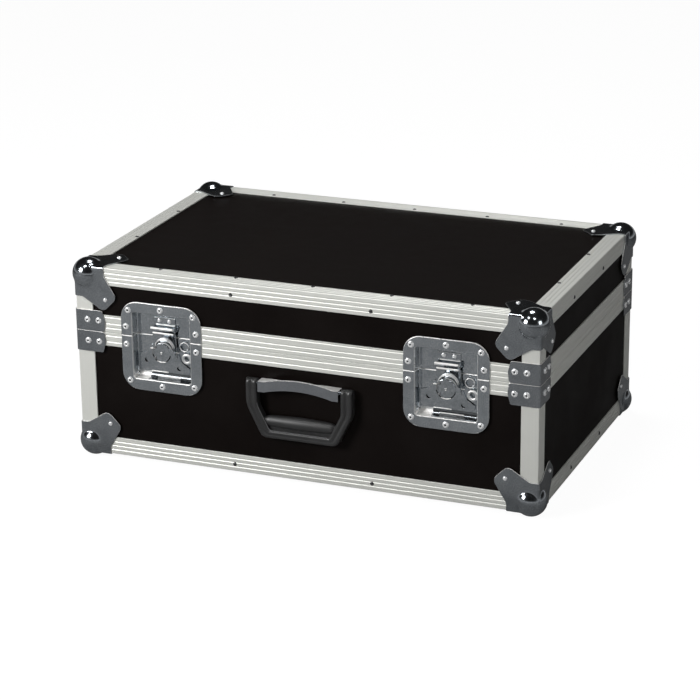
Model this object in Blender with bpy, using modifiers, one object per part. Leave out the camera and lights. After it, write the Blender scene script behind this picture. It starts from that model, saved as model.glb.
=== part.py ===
"""Foam-lined flight case: laminated boards in aluminium angles, ball corners, recessed butterfly
latches, a carrying handle and rear hinges. Metres, +Z up. The origin lies under the middle of the
case, on the surface it stands on."""

import math

import bmesh
import bpy
from mathutils import Matrix, Vector

# Case, over the outer faces of its angles
CASE_WIDTH = 0.590
CASE_DEPTH = 0.382
BASE_HEIGHT = 0.1585
LID_HEIGHT = 0.0815

# Clearances: between pieces that touch, around pieces that move, and across the seam
FIT_GAP = 0.0003
RUN_GAP = 0.0004
SEAM_GAP = 0.0004
CUT_OVER = 0.001
AXIS_SIZE = 0.03

# Boards and foam
BOARD = 0.007
FOAM_WALL = 0.010
FOAM_FLOOR = 0.020
FOAM_TOP = 0.025

# Aluminium angles
ANGLE_LEG = 0.022
ANGLE_WALL = 0.0015
ANGLE_EDGE_RADIUS = 0.0010

# Closing profiles on the rims
BASE_FLANGE = 0.0175
LID_FLANGE = 0.0215
INNER_FLANGE = 0.0080
INNER_FLANGE_WALL = 0.0012
PROFILE_FLOOR = 0.0013
LID_WEB = 0.0020
TONGUE_DEPTH_IN = 0.0050
TONGUE_WIDTH = 0.0020
TONGUE_HEIGHT = 0.0035
GROOVE_SLACK_OUT = 0.0006
GROOVE_SLACK_IN = 0.0011

# Pressed steel sheet of the corners, braces and latch dishes
SHEET = 0.0012
BEND_RADIUS = 0.0025

# Ball corners
BALL_RADIUS = 0.0195
BALL_INSET = 0.0120
FOOT_FLAT = 0.0005
LEG_EDGE = 0.0385
LEG_NECK = 0.0095
LEG_TIP_LONG = 0.0555
LEG_TIP_SHORT = 0.0370
LEG_NECK_RADIUS = 0.010
LEG_TIP_RADIUS = 0.008

# Corner braces
BRACE_LEG = 0.0382
BRACE_HEIGHT = 0.0265
BRACE_SEAM_CUT = 0.0016
BRACE_TOP_CUT = 0.0036
BRACE_END_RADIUS = 0.012
BRACE_CORNER_RADIUS = 0.0025

# Recessed latches
LATCH_INSET = 0.113
LATCH_WIDTH = 0.1063
LATCH_ABOVE_SEAM = 0.0435
LATCH_BELOW_SEAM = 0.0688
LATCH_CORNER_RADIUS = 0.022
RECESS_WIDTH = 0.076
RECESS_ABOVE_SEAM = 0.0297
RECESS_BELOW_SEAM = 0.0540
RECESS_DEPTH = 0.0130
DISH_CLEARANCE = 0.0005
HEAD_CLEARANCE = 0.0009
PLATE_WIDTH = 0.062
PLATE_TOP = -0.0030
PLATE_BOTTOM = -0.0444
PLATE_CORNER = 0.010
PLATE_RISE = 0.0021
EYE_X = 0.030
EYE_BELOW_SEAM = 0.0247
EYE_OUTER = 0.0060
EYE_INNER = 0.0038
EYE_THICKNESS = 0.0020
EYE_RISE = 0.0020

# Latch mechanism
KNOB_BELOW_SEAM = 0.0179
LOBE_RADIUS = 0.0085
LOBE_OFFSET = 0.0037
LOBE_SLACK = 0.0011
SHAFT_RADIUS = 0.0030
HEAD_RADIUS = 0.0050
HEAD_THICKNESS = 0.0012
CAP_RADIUS = 0.0110
CAP_THICKNESS = 0.0008
WING_RADIUS = 0.01225
WING_THICKNESS = 0.0019
WING_LUG = 0.0180
WING_LUG_WIDTH = 0.0090
WING_LUG_RADIUS = 0.0040
WING_HINGE_IN = 0.0086
BARREL_RADIUS = 0.0012
BARREL_LENGTH = 0.0100
WING_PIN_RADIUS = 0.0006
EAR_LENGTH = 0.0026
HOOK_WIDTH = 0.031
HOOK_SLOT_RADIUS = 0.0075
HOOK_SLANT = math.radians(35)
HOOK_LEG_LENGTH = 0.0090
HOOK_ENGAGEMENT = 0.0042
STRIKE_WIDTH = 0.028
STRIKE_PLATE = 0.0174
LIP_BASE = 0.0059
LIP_HEIGHT = 0.0047
LIP_IN = 0.0073

# Handle
HANDLE_BELOW_SEAM = 0.0383
HANDLE_STANDOFF = 0.005
HANDLE_HALF_WIDTH = 0.0680
ARM_WIDTH = 0.0145
ARM_THICKNESS = 0.012
ARM_STRAIGHT = 0.027
GRIP_DROP = 0.0667
GRIP_HEIGHT = 0.0282
GRIP_CROWN = 0.0015
GRIP_LEAN_OUT = 0.0200
GRIP_LEAN_IN = 0.0120
GRIP_EDGE = 0.0018
GRIP_CORNER_RADIUS = 0.010
GRIP_NOOK_RADIUS = 0.002
ARM_OUTER_RADIUS = 0.032
ARM_INNER_RADIUS = 0.013
PIVOT_PIN_RADIUS = 0.0025
PIVOT_PIN_LENGTH = 0.0080
BRACKET_END_GAP = 0.0020
BRACKET_PROUD = 0.012
BRACKET_STRAP = 0.0026
BRACKET_BELOW = 0.0086
BRACKET_ABOVE = 0.0045
BRACKET_ARCH = 0.0059
BRACKET_RISE = 0.0056
BRACKET_FOOT = 0.0080
BRACKET_TAPER_END = 0.022

# Rear hinges
HINGE_INSET = 0.115
HINGE_WIDTH = 0.060
HINGE_LEAF = 0.032
LEAF_THICKNESS = 0.0015
LEAF_CLEARANCE = 0.0002
KNUCKLE_RADIUS = 0.0038
HINGE_PIN_RADIUS = 0.0019
HINGE_BORE_SLACK = 0.0002
LID_KNUCKLE_SHARE = 0.42
STOP_ANGLE = math.radians(100)
STOP_RIB = 0.0016
STOP_REACH = 0.0040
STOP_HEIGHT = 0.0063

# Levels and faces that follow from these
BOTTOM = BALL_RADIUS - BALL_INSET - FOOT_FLAT
SEAM = BOTTOM + BASE_HEIGHT
TOP = SEAM + LID_HEIGHT
SIDE = CASE_WIDTH / 2
BACK = CASE_DEPTH / 2
FRONT = -BACK
BOARD_OUT = ANGLE_WALL + FIT_GAP
BOARD_IN = BOARD_OUT + BOARD
PROFILE_OPEN = BOARD_IN + FIT_GAP
PROFILE_IN = PROFILE_OPEN + INNER_FLANGE_WALL
FOAM_OUT = BOARD_IN + FIT_GAP
SHEET_OUT = FIT_GAP + SHEET
GROOVE_DEPTH = TONGUE_HEIGHT + SEAM_GAP
BASE_WEB = GROOVE_DEPTH + PROFILE_FLOOR
BASE_RIM = SEAM - SEAM_GAP / 2
LID_RIM = SEAM + SEAM_GAP / 2
DISH_OUT = SHEET_OUT
DISH_FLOOR = RECESS_DEPTH - DISH_OUT
DISH_BACK = DISH_FLOOR + SHEET
RECESS_HALF = RECESS_WIDTH / 2
NOTCH_HALF = RECESS_HALF + SHEET + DISH_CLEARANCE
LATCH_X = SIDE - LATCH_INSET
HINGE_X = SIDE - HINGE_INSET
HINGE_Y = BACK + FIT_GAP + KNUCKLE_RADIUS + LEAF_CLEARANCE
HANDLE_INNER = HANDLE_HALF_WIDTH - ARM_WIDTH
GRIP_HALF_WIDTH = HANDLE_HALF_WIDTH - GRIP_LEAN_OUT
GRIP_INNER_HALF_WIDTH = HANDLE_INNER - GRIP_LEAN_IN
BRACKET_HALF_WIDTH = HANDLE_INNER - BRACKET_END_GAP
EAR_SWEEP = BARREL_RADIUS * math.sqrt(2)

PLANES = {"xy": Matrix.Identity(3),
          "xz": Matrix(((1, 0, 0), (0, 0, -1), (0, 1, 0))),
          "yz": Matrix(((0, 0, 1), (1, 0, 0), (0, 1, 0)))}
ROUND_STEPS = 20


def clear_scene():
    for old in list(bpy.data.objects):
        bpy.data.objects.remove(old, do_unlink=True)


def new_collection(name):
    made = bpy.data.collections.new(name)
    bpy.context.scene.collection.children.link(made)
    return made


def new_material(name, colour, roughness, metallic):
    made = bpy.data.materials.new(name)
    made.use_nodes = True
    shader = made.node_tree.nodes["Principled BSDF"]
    shader.inputs["Base Color"].default_value = (*colour, 1)
    shader.inputs["Roughness"].default_value = roughness
    shader.inputs["Metallic"].default_value = metallic
    made.diffuse_color = (*colour, 1)
    return made


def snap(mesh):
    """Moves points to whole tenths of a micrometre, so that flush faces lie exactly in one plane."""
    for vertex in mesh.vertices:
        vertex.co = [round(value, 7) for value in vertex.co]


def plain_mesh(obj):
    """Puts an object's place, turn and size into its mesh."""
    bpy.context.view_layer.update()
    obj.data.transform(obj.matrix_world)
    obj.matrix_world = Matrix.Identity(4)
    snap(obj.data)
    return obj


def new_object(name, data):
    made = bpy.data.objects.new(name, data)
    bpy.context.scene.collection.objects.link(made)
    return made


def box(low, high):
    """A box between two corners."""
    low, high = Vector(low), Vector(high)
    bpy.ops.mesh.primitive_cube_add(size=1, location=(low + high) / 2)
    made = bpy.context.object
    made.scale = high - low
    return plain_mesh(made)


def cylinder(radius, start, end, steps=ROUND_STEPS):
    """A round bar from one point to another."""
    start, end = Vector(start), Vector(end)
    run = end - start
    turn = run.to_track_quat("Z", "Y").to_euler()
    bpy.ops.mesh.primitive_cylinder_add(vertices=steps, radius=radius, depth=run.length,
                                        location=(start + end) / 2, rotation=turn)
    return plain_mesh(bpy.context.object)


def sphere(radius, centre, steps):
    bpy.ops.mesh.primitive_uv_sphere_add(segments=steps, ring_count=steps // 2, radius=radius,
                                         location=centre)
    return plain_mesh(bpy.context.object)


def prism(outline, plane, low, high):
    """A flat outline in the xy, xz or yz plane, made solid between two values of the third axis."""
    curve = bpy.data.curves.new("outline", "CURVE")
    curve.dimensions = "2D"
    curve.fill_mode = "BOTH"
    curve.extrude = (high - low) / 2
    spline = curve.splines.new("POLY")
    spline.points.add(len(outline) - 1)
    for point, (u, v) in zip(spline.points, outline):
        point.co = (u, v, 0, 1)
    spline.use_cyclic_u = True
    flat = new_object("outline", curve)
    middle = (low + high) / 2
    place = {"xy": (0, 0, middle), "xz": (0, middle, 0), "yz": (middle, 0, 0)}[plane]
    flat.matrix_world = Matrix.Translation(place) @ PLANES[plane].to_4x4()
    bpy.context.view_layer.update()
    return meshed(flat)


def rounded(corners, steps=5):
    """Outline points for corners given as (u, v, radius), with an arc where the radius isn't 0."""
    points = []
    for index, (u, v, radius) in enumerate(corners):
        here = Vector((u, v))
        if radius == 0:
            points.append(here)
            continue
        before = (Vector(corners[index - 1][:2]) - here).normalized()
        after = (Vector(corners[(index + 1) % len(corners)][:2]) - here).normalized()
        half = before.angle(after) / 2
        reach = radius / math.tan(half)
        centre = here + (before + after).normalized() * radius / math.sin(half)
        first = here + before * reach - centre
        last = here + after * reach - centre
        start = math.atan2(first.y, first.x)
        turn = (math.atan2(last.y, last.x) - start + math.pi) % math.tau - math.pi
        for step in range(steps + 1):
            angle = start + turn * step / steps
            points.append(centre + Vector((math.cos(angle), math.sin(angle))) * radius)
    return points


def arc(centre, radius, start, end, steps):
    """Outline points along an arc, its angles in radians."""
    return [Vector((centre[0] + radius * math.cos(start + (end - start) * step / steps),
                    centre[1] + radius * math.sin(start + (end - start) * step / steps)))
            for step in range(steps + 1)]


def strip(line, thickness):
    """The outline of a bent strip of sheet along a centre line."""
    left, right = [], []
    for index, point in enumerate(line):
        runs = []
        if index > 0:
            runs.append((point - line[index - 1]).normalized())
        if index < len(line) - 1:
            runs.append((line[index + 1] - point).normalized())
        along = sum(runs, Vector((0, 0))).normalized()
        across = Vector((-along.y, along.x))
        square = Vector((-runs[0].y, runs[0].x))
        offset = across * (thickness / 2 / across.dot(square))
        left.append(point + offset)
        right.append(point - offset)
    return left + right[::-1]


def meshed(obj):
    """Replaces an object by a plain mesh of what it evaluates to, with its doubled points welded."""
    evaluated = obj.evaluated_get(bpy.context.evaluated_depsgraph_get())
    mesh = bpy.data.meshes.new_from_object(evaluated)
    mesh.transform(obj.matrix_world)
    weld = bmesh.new()
    weld.from_mesh(mesh)
    bmesh.ops.remove_doubles(weld, verts=weld.verts, dist=1e-6)
    weld.to_mesh(mesh)
    weld.free()
    snap(mesh)
    name = obj.name
    bpy.data.objects.remove(obj, do_unlink=True)
    return new_object(name, mesh)


def combine(target, operation, others):
    """Applies one Boolean operation with each of the other shapes, and removes them."""
    for other in others:
        change = target.modifiers.new(operation.lower(), "BOOLEAN")
        change.operation = operation
        change.object = other
        change.solver = "EXACT"
    bpy.context.view_layer.update()
    made = meshed(target)
    for other in others:
        bpy.data.objects.remove(other, do_unlink=True)
    return made


def cut(target, *others):
    return combine(target, "DIFFERENCE", others)


def join(target, *others):
    return combine(target, "UNION", others)


def common(target, *others):
    return combine(target, "INTERSECT", others)


def bevelled(obj, width, segments, angle=math.radians(40)):
    change = obj.modifiers.new("edges", "BEVEL")
    change.width = width
    change.segments = segments
    change.limit_method = "ANGLE"
    change.angle_limit = angle
    bpy.context.view_layer.update()
    return meshed(obj)


def mirrored(obj, x=1, y=1, z=1):
    """A copy of a plain shape, turned over along the axes whose factor is -1."""
    mesh = obj.data.copy()
    mesh.transform(Matrix.Diagonal((x, y, z, 1)))
    if x * y * z < 0:
        mesh.flip_normals()
    return new_object(obj.name, mesh)


def discard(*shapes):
    for shape in shapes:
        bpy.data.objects.remove(shape, do_unlink=True)


def piece(name, obj, material, place=(0, 0, 0), origin=None, parent=None):
    """Names a finished shape, moves it to its place, sets its origin and hangs it on an empty."""
    obj.name = name
    obj.data.name = name
    obj.data.transform(Matrix.Translation(Vector(place)))
    point = Vector(origin) if origin is not None else Vector((0, 0, 0))
    obj.data.transform(Matrix.Translation(-point))
    obj.location = point
    obj.data.materials.clear()
    obj.data.materials.append(material)
    obj.data.shade_smooth()
    obj.data.set_sharp_from_angle(angle=math.radians(35))
    for holder in list(obj.users_collection):
        holder.objects.unlink(obj)
    PARTS.objects.link(obj)
    if parent is not None:
        obj.parent = parent
        obj.location = point - origin_of(parent)
    return obj


def origin_of(obj):
    """An object's place in the world, where nothing is turned."""
    point = Vector(obj.location)
    while obj.parent is not None:
        obj = obj.parent
        point += obj.location
    return point


def axis_empty(name, point, parent=None):
    made = bpy.data.objects.new(name, None)
    made.empty_display_size = AXIS_SIZE
    PARTS.objects.link(made)
    made.location = point
    if parent is not None:
        made.parent = parent
        made.location = Vector(point) - origin_of(parent)
    return made


def ring(outer, inner, low, high):
    """A rectangular ring between two depths inside the case's outer faces."""
    whole = box((outer - SIDE, outer - BACK, low), (SIDE - outer, BACK - outer, high))
    hole = box((inner - SIDE, inner - BACK, low - CUT_OVER),
               (SIDE - inner, BACK - inner, high + CUT_OVER))
    return cut(whole, hole)


def tray(depth, low, high, pad, pad_at_top):
    """A foam lining: a pad with a wall round it, open at the seam."""
    whole = box((depth - SIDE, depth - BACK, low), (SIDE - depth, BACK - depth, high))
    wall = depth + FOAM_WALL
    bottom = low - CUT_OVER if pad_at_top else low + pad
    top = high - pad if pad_at_top else high + CUT_OVER
    return cut(whole, box((wall - SIDE, wall - BACK, bottom), (SIDE - wall, BACK - wall, top)))


def latch_pockets(low, high, depth):
    """Two blocks that clear the latch dishes out of what lies behind the front face."""
    return [box((x - NOTCH_HALF, FRONT - CUT_OVER, low), (x + NOTCH_HALF, FRONT + depth, high))
            for x in (-LATCH_X, LATCH_X)]


def make_boards(lid_axis):
    """Five boards for each half: floor or top lies across the walls, front and back run full width."""
    wide = SIDE - BOARD_OUT
    deep = BACK - BOARD_OUT
    inner_deep = BACK - BOARD_IN - FIT_GAP
    halves = {"base": (BOTTOM + BOARD_IN + FIT_GAP, BASE_RIM - BASE_WEB - FIT_GAP, None),
              "lid": (LID_RIM + LID_WEB + FIT_GAP, TOP - BOARD_IN - FIT_GAP, lid_axis)}
    floor = box((-wide, -deep, BOTTOM + BOARD_OUT), (wide, deep, BOTTOM + BOARD_IN))
    piece("base_floor_panel", floor, LAMINATE)
    top = box((-wide, -deep, TOP - BOARD_IN), (wide, deep, TOP - BOARD_OUT))
    piece("lid_top_panel", top, LAMINATE, parent=lid_axis)
    low_notch = SEAM - RECESS_BELOW_SEAM - SHEET - DISH_CLEARANCE
    high_notch = SEAM + RECESS_ABOVE_SEAM + SHEET + DISH_CLEARANCE
    for half, (low, high, parent) in halves.items():
        front = box((-wide, FRONT + BOARD_OUT, low), (wide, FRONT + BOARD_IN, high))
        front = cut(front, *latch_pockets(low_notch, high_notch, BOARD_IN + CUT_OVER))
        piece(half + "_front_panel", front, LAMINATE, parent=parent)
        back = box((-wide, BACK - BOARD_IN, low), (wide, BACK - BOARD_OUT, high))
        piece(half + "_back_panel", back, LAMINATE, parent=parent)
        for side, sign in (("left", -1), ("right", 1)):
            ends = sorted((sign * (SIDE - BOARD_IN), sign * (SIDE - BOARD_OUT)))
            wall = box((ends[0], -inner_deep, low), (ends[1], inner_deep, high))
            piece(f"{half}_{side}_panel", wall, LAMINATE, parent=parent)


def corner_relief():
    """What a ball corner's dome needs cut from the angles, for a corner at the origin, inwards positive."""
    zone = box((-CUT_OVER,) * 3, (BALL_INSET,) * 3)
    dome = sphere(BALL_RADIUS - SHEET - RUN_GAP, (BALL_INSET,) * 3, 16)
    return cut(zone, dome)


def make_angles(lid_axis):
    """A mitred frame of angles round the bottom and the top, and a plain angle on each vertical edge."""
    relief = corner_relief()
    frames = (("base_edge_frame", BOTTOM, 1, None), ("lid_edge_frame", TOP, -1, lid_axis))
    for name, level, inward, parent in frames:
        ends = sorted((level, level + inward * ANGLE_LEG))
        inner = sorted((level + inward * ANGLE_WALL, level + inward * (ANGLE_LEG + CUT_OVER)))
        frame = box((-SIDE, -BACK, ends[0]), (SIDE, BACK, ends[1]))
        frame = bevelled(frame, ANGLE_EDGE_RADIUS, 1)
        inside = box((ANGLE_WALL - SIDE, ANGLE_WALL - BACK, inner[0]),
                     (SIDE - ANGLE_WALL, BACK - ANGLE_WALL, inner[1]))
        window = box((ANGLE_LEG - SIDE, ANGLE_LEG - BACK, ends[0] - CUT_OVER),
                     (SIDE - ANGLE_LEG, BACK - ANGLE_LEG, ends[1] + CUT_OVER))
        cuts = [inside, window]
        for x in (-1, 1):
            for y in (-1, 1):
                corner = mirrored(relief, -x, -y, inward)
                corner.data.transform(Matrix.Translation((x * SIDE, y * BACK, level)))
                cuts.append(corner)
        piece(name, cut(frame, *cuts), ALUMINIUM, parent=parent)
    discard(relief)
    section = rounded([(0, 0, ANGLE_EDGE_RADIUS), (ANGLE_LEG, 0, 0), (ANGLE_LEG, ANGLE_WALL, 0),
                       (ANGLE_WALL, ANGLE_WALL, 0), (ANGLE_WALL, ANGLE_LEG, 0), (0, ANGLE_LEG, 0)],
                      2)
    spans = {"base": (BOTTOM + ANGLE_LEG + FIT_GAP, BASE_RIM - BASE_FLANGE - FIT_GAP, None),
             "lid": (LID_RIM + LID_FLANGE + FIT_GAP, TOP - ANGLE_LEG - FIT_GAP, lid_axis)}
    for half, (low, high, parent) in spans.items():
        post = prism(section, "xy", low, high)
        for corner, (x, y) in CORNERS.items():
            angle = mirrored(post, -x, -y)
            piece(f"{half}_post_{corner}", angle, ALUMINIUM, (x * SIDE, y * BACK, 0), parent=parent)
        discard(post)


def make_profiles(lid_axis):
    """The closing profiles: channels on the boards' rims, grooved in the base, tongued in the lid."""
    groove_out = TONGUE_DEPTH_IN - GROOVE_SLACK_OUT
    groove_in = TONGUE_DEPTH_IN + TONGUE_WIDTH + GROOVE_SLACK_IN
    base = ring(0, PROFILE_IN, BASE_RIM - BASE_FLANGE, BASE_RIM)
    base = cut(base,
               ring(ANGLE_WALL, PROFILE_IN + CUT_OVER, BASE_RIM - BASE_FLANGE - CUT_OVER,
                    BASE_RIM - INNER_FLANGE),
               ring(ANGLE_WALL, PROFILE_OPEN, BASE_RIM - INNER_FLANGE - CUT_OVER, BASE_RIM - BASE_WEB),
               ring(groove_out, groove_in, BASE_RIM - GROOVE_DEPTH, BASE_RIM + CUT_OVER))
    lid = ring(0, PROFILE_IN, LID_RIM, LID_RIM + LID_FLANGE)
    lid = cut(lid,
              ring(ANGLE_WALL, PROFILE_IN + CUT_OVER, LID_RIM + INNER_FLANGE,
                   LID_RIM + LID_FLANGE + CUT_OVER),
              ring(ANGLE_WALL, PROFILE_OPEN, LID_RIM + LID_WEB, LID_RIM + INNER_FLANGE + CUT_OVER))
    lid = join(lid, ring(TONGUE_DEPTH_IN, TONGUE_DEPTH_IN + TONGUE_WIDTH, LID_RIM - TONGUE_HEIGHT,
                         LID_RIM + PROFILE_FLOOR))
    reach = PROFILE_IN + CUT_OVER
    outer = LATCH_X + NOTCH_HALF
    inner = LATCH_X - NOTCH_HALF
    low = SEAM - BASE_FLANGE - LID_FLANGE
    high = SEAM + BASE_FLANGE + LID_FLANGE
    for half, whole, parent in (("base", base, None), ("lid", lid, lid_axis)):
        between = box((-inner, FRONT - CUT_OVER, low), (inner, FRONT + reach, high))
        middle = common(mirrored(whole), between)
        round_run = cut(whole, box((-outer, FRONT - CUT_OVER, low), (outer, FRONT + reach, high)))
        piece(half + "_profile_front", middle, ALUMINIUM, parent=parent)
        piece(half + "_profile", round_run, ALUMINIUM, parent=parent)


def make_foam(lid_axis):
    """A foam lining in each half, with pockets behind the latch dishes."""
    low = BOTTOM + BOARD_IN + FIT_GAP
    high = BASE_RIM - INNER_FLANGE - RUN_GAP
    pocket = DISH_BACK + FIT_GAP + HEAD_THICKNESS + HEAD_CLEARANCE
    spare = SHEET + 2 * DISH_CLEARANCE
    base = tray(FOAM_OUT, low, high, FOAM_FLOOR, False)
    base = cut(base, *latch_pockets(SEAM - RECESS_BELOW_SEAM - spare, SEAM + CUT_OVER, pocket))
    piece("base_foam", base, FOAM)
    low = LID_RIM + INNER_FLANGE + RUN_GAP
    high = TOP - BOARD_IN - FIT_GAP
    lid = tray(FOAM_OUT, low, high, FOAM_TOP, True)
    lid = cut(lid, *latch_pockets(SEAM - CUT_OVER, SEAM + RECESS_ABOVE_SEAM + spare, pocket))
    piece("lid_foam", lid, FOAM, parent=lid_axis)


def ball_corner():
    """A pressed corner for a case corner at the origin, inwards positive: three legs and a hollow dome."""
    out = -SHEET_OUT
    outline = rounded([(out, out, 0), (LEG_EDGE, out, 0), (LEG_EDGE, LEG_NECK, LEG_NECK_RADIUS),
                       (LEG_TIP_LONG, LEG_TIP_SHORT, LEG_TIP_RADIUS),
                       (LEG_TIP_SHORT, LEG_TIP_LONG, LEG_TIP_RADIUS),
                       (LEG_NECK, LEG_EDGE, LEG_NECK_RADIUS), (out, LEG_EDGE, 0)], 2)
    legs = join(*[prism(outline, plane, out, SHEET) for plane in ("xy", "xz", "yz")])
    bent = bevelled(box((out,) * 3, (LEG_TIP_LONG + SHEET,) * 3), BEND_RADIUS, 2)
    vertex = box((out - CUT_OVER,) * 3, (BALL_INSET,) * 3)
    legs = join(cut(common(legs, bent), vertex), sphere(BALL_RADIUS, (BALL_INSET,) * 3, 20))
    inside = box((-FIT_GAP,) * 3, (LEG_TIP_LONG + SHEET,) * 3)
    inside = cut(inside, box((-CUT_OVER,) * 3, (BALL_INSET,) * 3))
    return cut(legs, sphere(BALL_RADIUS - SHEET, (BALL_INSET,) * 3, 16), inside)


def make_corners(lid_axis):
    """Eight ball corners. The lower four have the small flat that they stand on."""
    corner = ball_corner()
    reach = BALL_RADIUS - BALL_INSET
    foot = box((-reach,) * 2 + (-reach - CUT_OVER,), (LEG_TIP_LONG,) * 2 + (FOOT_FLAT - reach,))
    standing = cut(mirrored(corner), foot)
    for name, (x, y) in CORNERS.items():
        low, high = (x * SIDE, y * BACK, BOTTOM), (x * SIDE, y * BACK, TOP)
        piece("ball_corner_base_" + name, mirrored(standing, -x, -y, 1), STEEL, low)
        piece("ball_corner_lid_" + name, mirrored(corner, -x, -y, -1), STEEL, high, parent=lid_axis)
    discard(corner, standing)


def make_braces(lid_axis):
    """An L-shaped brace above and below the seam on each vertical edge."""
    out = -SHEET_OUT
    section = rounded([(out, out, BEND_RADIUS), (BRACE_LEG, out, 0), (BRACE_LEG, -FIT_GAP, 0),
                       (-FIT_GAP, -FIT_GAP, 0), (-FIT_GAP, BRACE_LEG, 0), (out, BRACE_LEG, 0)], 3)
    low, high = SEAM_GAP / 2, BRACE_HEIGHT
    face = rounded([(2 * out, low, 0), (BRACE_LEG - BRACE_SEAM_CUT, low, BRACE_CORNER_RADIUS),
                    (BRACE_LEG, high / 2, BRACE_END_RADIUS),
                    (BRACE_LEG - BRACE_TOP_CUT, high, BRACE_CORNER_RADIUS), (2 * out, high, 0)], 3)
    brace = common(prism(section, "xy", low, high), prism(face, "xz", 2 * out, BRACE_LEG + SHEET),
                   prism(face, "yz", 2 * out, BRACE_LEG + SHEET))
    for name, (x, y) in CORNERS.items():
        edge = (x * SIDE, y * BACK, SEAM)
        piece("brace_base_" + name, mirrored(brace, -x, -y, -1), STEEL, edge)
        piece("brace_lid_" + name, mirrored(brace, -x, -y, 1), STEEL, edge, parent=lid_axis)
    discard(brace)


def dish(outer_reach, recess_reach, up):
    """Half of a latch's recessed dish, about the seam on the front face; up is 1 for the lid's half."""
    rim = SEAM_GAP / 2
    half = LATCH_WIDTH / 2
    flange = rounded([(-half, up * rim, 0), (-half, up * outer_reach, LATCH_CORNER_RADIUS),
                      (half, up * outer_reach, LATCH_CORNER_RADIUS), (half, up * rim, 0)], 6)
    wall = RECESS_HALF + SHEET
    ends = sorted((up * rim, up * (recess_reach + SHEET)))
    hollow = sorted((up * (rim - CUT_OVER), up * recess_reach))
    shape = join(prism(flange, "xz", -DISH_OUT, -FIT_GAP),
                 box((-wall, -FIT_GAP - SHEET / 2, ends[0]), (wall, DISH_BACK, ends[1])))
    return cut(shape, box((-RECESS_HALF, -DISH_OUT - CUT_OVER, hollow[0]),
                          (RECESS_HALF, DISH_FLOOR, hollow[1])))


def base_dish():
    """The base's dish with the mechanism plate on its floor, the shaft's bore and the padlock eye."""
    half = PLATE_WIDTH / 2
    plate = rounded([(-half, PLATE_TOP - PLATE_CORNER, 0), (-half, PLATE_BOTTOM + PLATE_CORNER, 0),
                     (PLATE_CORNER - half, PLATE_BOTTOM, 0), (half - PLATE_CORNER, PLATE_BOTTOM, 0),
                     (half, PLATE_BOTTOM + PLATE_CORNER, 0), (half, PLATE_TOP - PLATE_CORNER, 0),
                     (half - PLATE_CORNER, PLATE_TOP, 0), (PLATE_CORNER - half, PLATE_TOP, 0)])
    front = DISH_FLOOR - PLATE_RISE
    eye_back = front - EYE_RISE
    eye_z = -EYE_BELOW_SEAM
    stem = box((EYE_X - EYE_OUTER, eye_back - EYE_THICKNESS, eye_z - EYE_INNER / 2),
               (EYE_X - EYE_INNER - FIT_GAP, DISH_FLOOR, eye_z + EYE_INNER / 2))
    eye = cylinder(EYE_OUTER, (EYE_X, eye_back - EYE_THICKNESS, eye_z), (EYE_X, eye_back, eye_z), 16)
    eye_hole = cylinder(EYE_INNER, (EYE_X, 0, eye_z), (EYE_X, eye_back + CUT_OVER, eye_z), 16)
    shape = join(dish(LATCH_BELOW_SEAM, RECESS_BELOW_SEAM, -1),
                 prism(plate, "xz", front, DISH_FLOOR + SHEET / 2), stem, cut(eye, eye_hole))
    bore = cylinder(SHAFT_RADIUS + FIT_GAP, (0, front - CUT_OVER, -KNOB_BELOW_SEAM),
                    (0, DISH_BACK + CUT_OVER, -KNOB_BELOW_SEAM), 16)
    return cut(shape, bore)


def strike_line():
    """The strike's centre line, in depth and height, from the top of its plate to the end of its lip."""
    slant = Vector((-math.sin(HOOK_SLANT), math.cos(HOOK_SLANT)))
    plate = DISH_FLOOR - FIT_GAP - SHEET / 2
    foot = Vector((LIP_IN, LIP_BASE))
    return [Vector((plate, LIP_BASE + STRIKE_PLATE)), Vector((plate, LIP_BASE)), foot,
            foot + slant * (LIP_HEIGHT / slant.y)]


def hook_line():
    """The hook's centre line: up the plate, along the lip's slant, over the lip and down behind it."""
    slant = Vector((-math.sin(HOOK_SLANT), math.cos(HOOK_SLANT)))
    across = Vector((slant.y, -slant.x))
    plate = DISH_FLOOR - PLATE_RISE - RUN_GAP - SHEET / 2
    pitch = SHEET + RUN_GAP
    lip_end = strike_line()[-1]
    roof = lip_end + slant * (RUN_GAP + SHEET / 2)
    front = roof - across * pitch
    back = roof + across * pitch
    bend = front - slant * ((plate - front.x) / math.sin(HOOK_SLANT))
    return [Vector((plate, -KNOB_BELOW_SEAM - HOOK_LEG_LENGTH)), Vector((plate, bend.y)), front, back,
            back - slant * (HOOK_ENGAGEMENT + RUN_GAP + SHEET / 2)]


def hook():
    """The claw: a bent plate whose two legs pass either side of the cam's lobe."""
    half = HOOK_WIDTH / 2
    plate = prism(strip(hook_line(), SHEET), "yz", -half, half)
    slot = LOBE_RADIUS + LOBE_OFFSET + RUN_GAP
    top = LOBE_RADIUS - LOBE_OFFSET + LOBE_SLACK - KNOB_BELOW_SEAM
    outline = rounded([(-slot, -2 * LATCH_BELOW_SEAM, 0), (slot, -2 * LATCH_BELOW_SEAM, 0),
                       (slot, top, HOOK_SLOT_RADIUS), (-slot, top, HOOK_SLOT_RADIUS)], 4)
    return cut(plate, prism(outline, "xz", 0, DISH_BACK))


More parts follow.
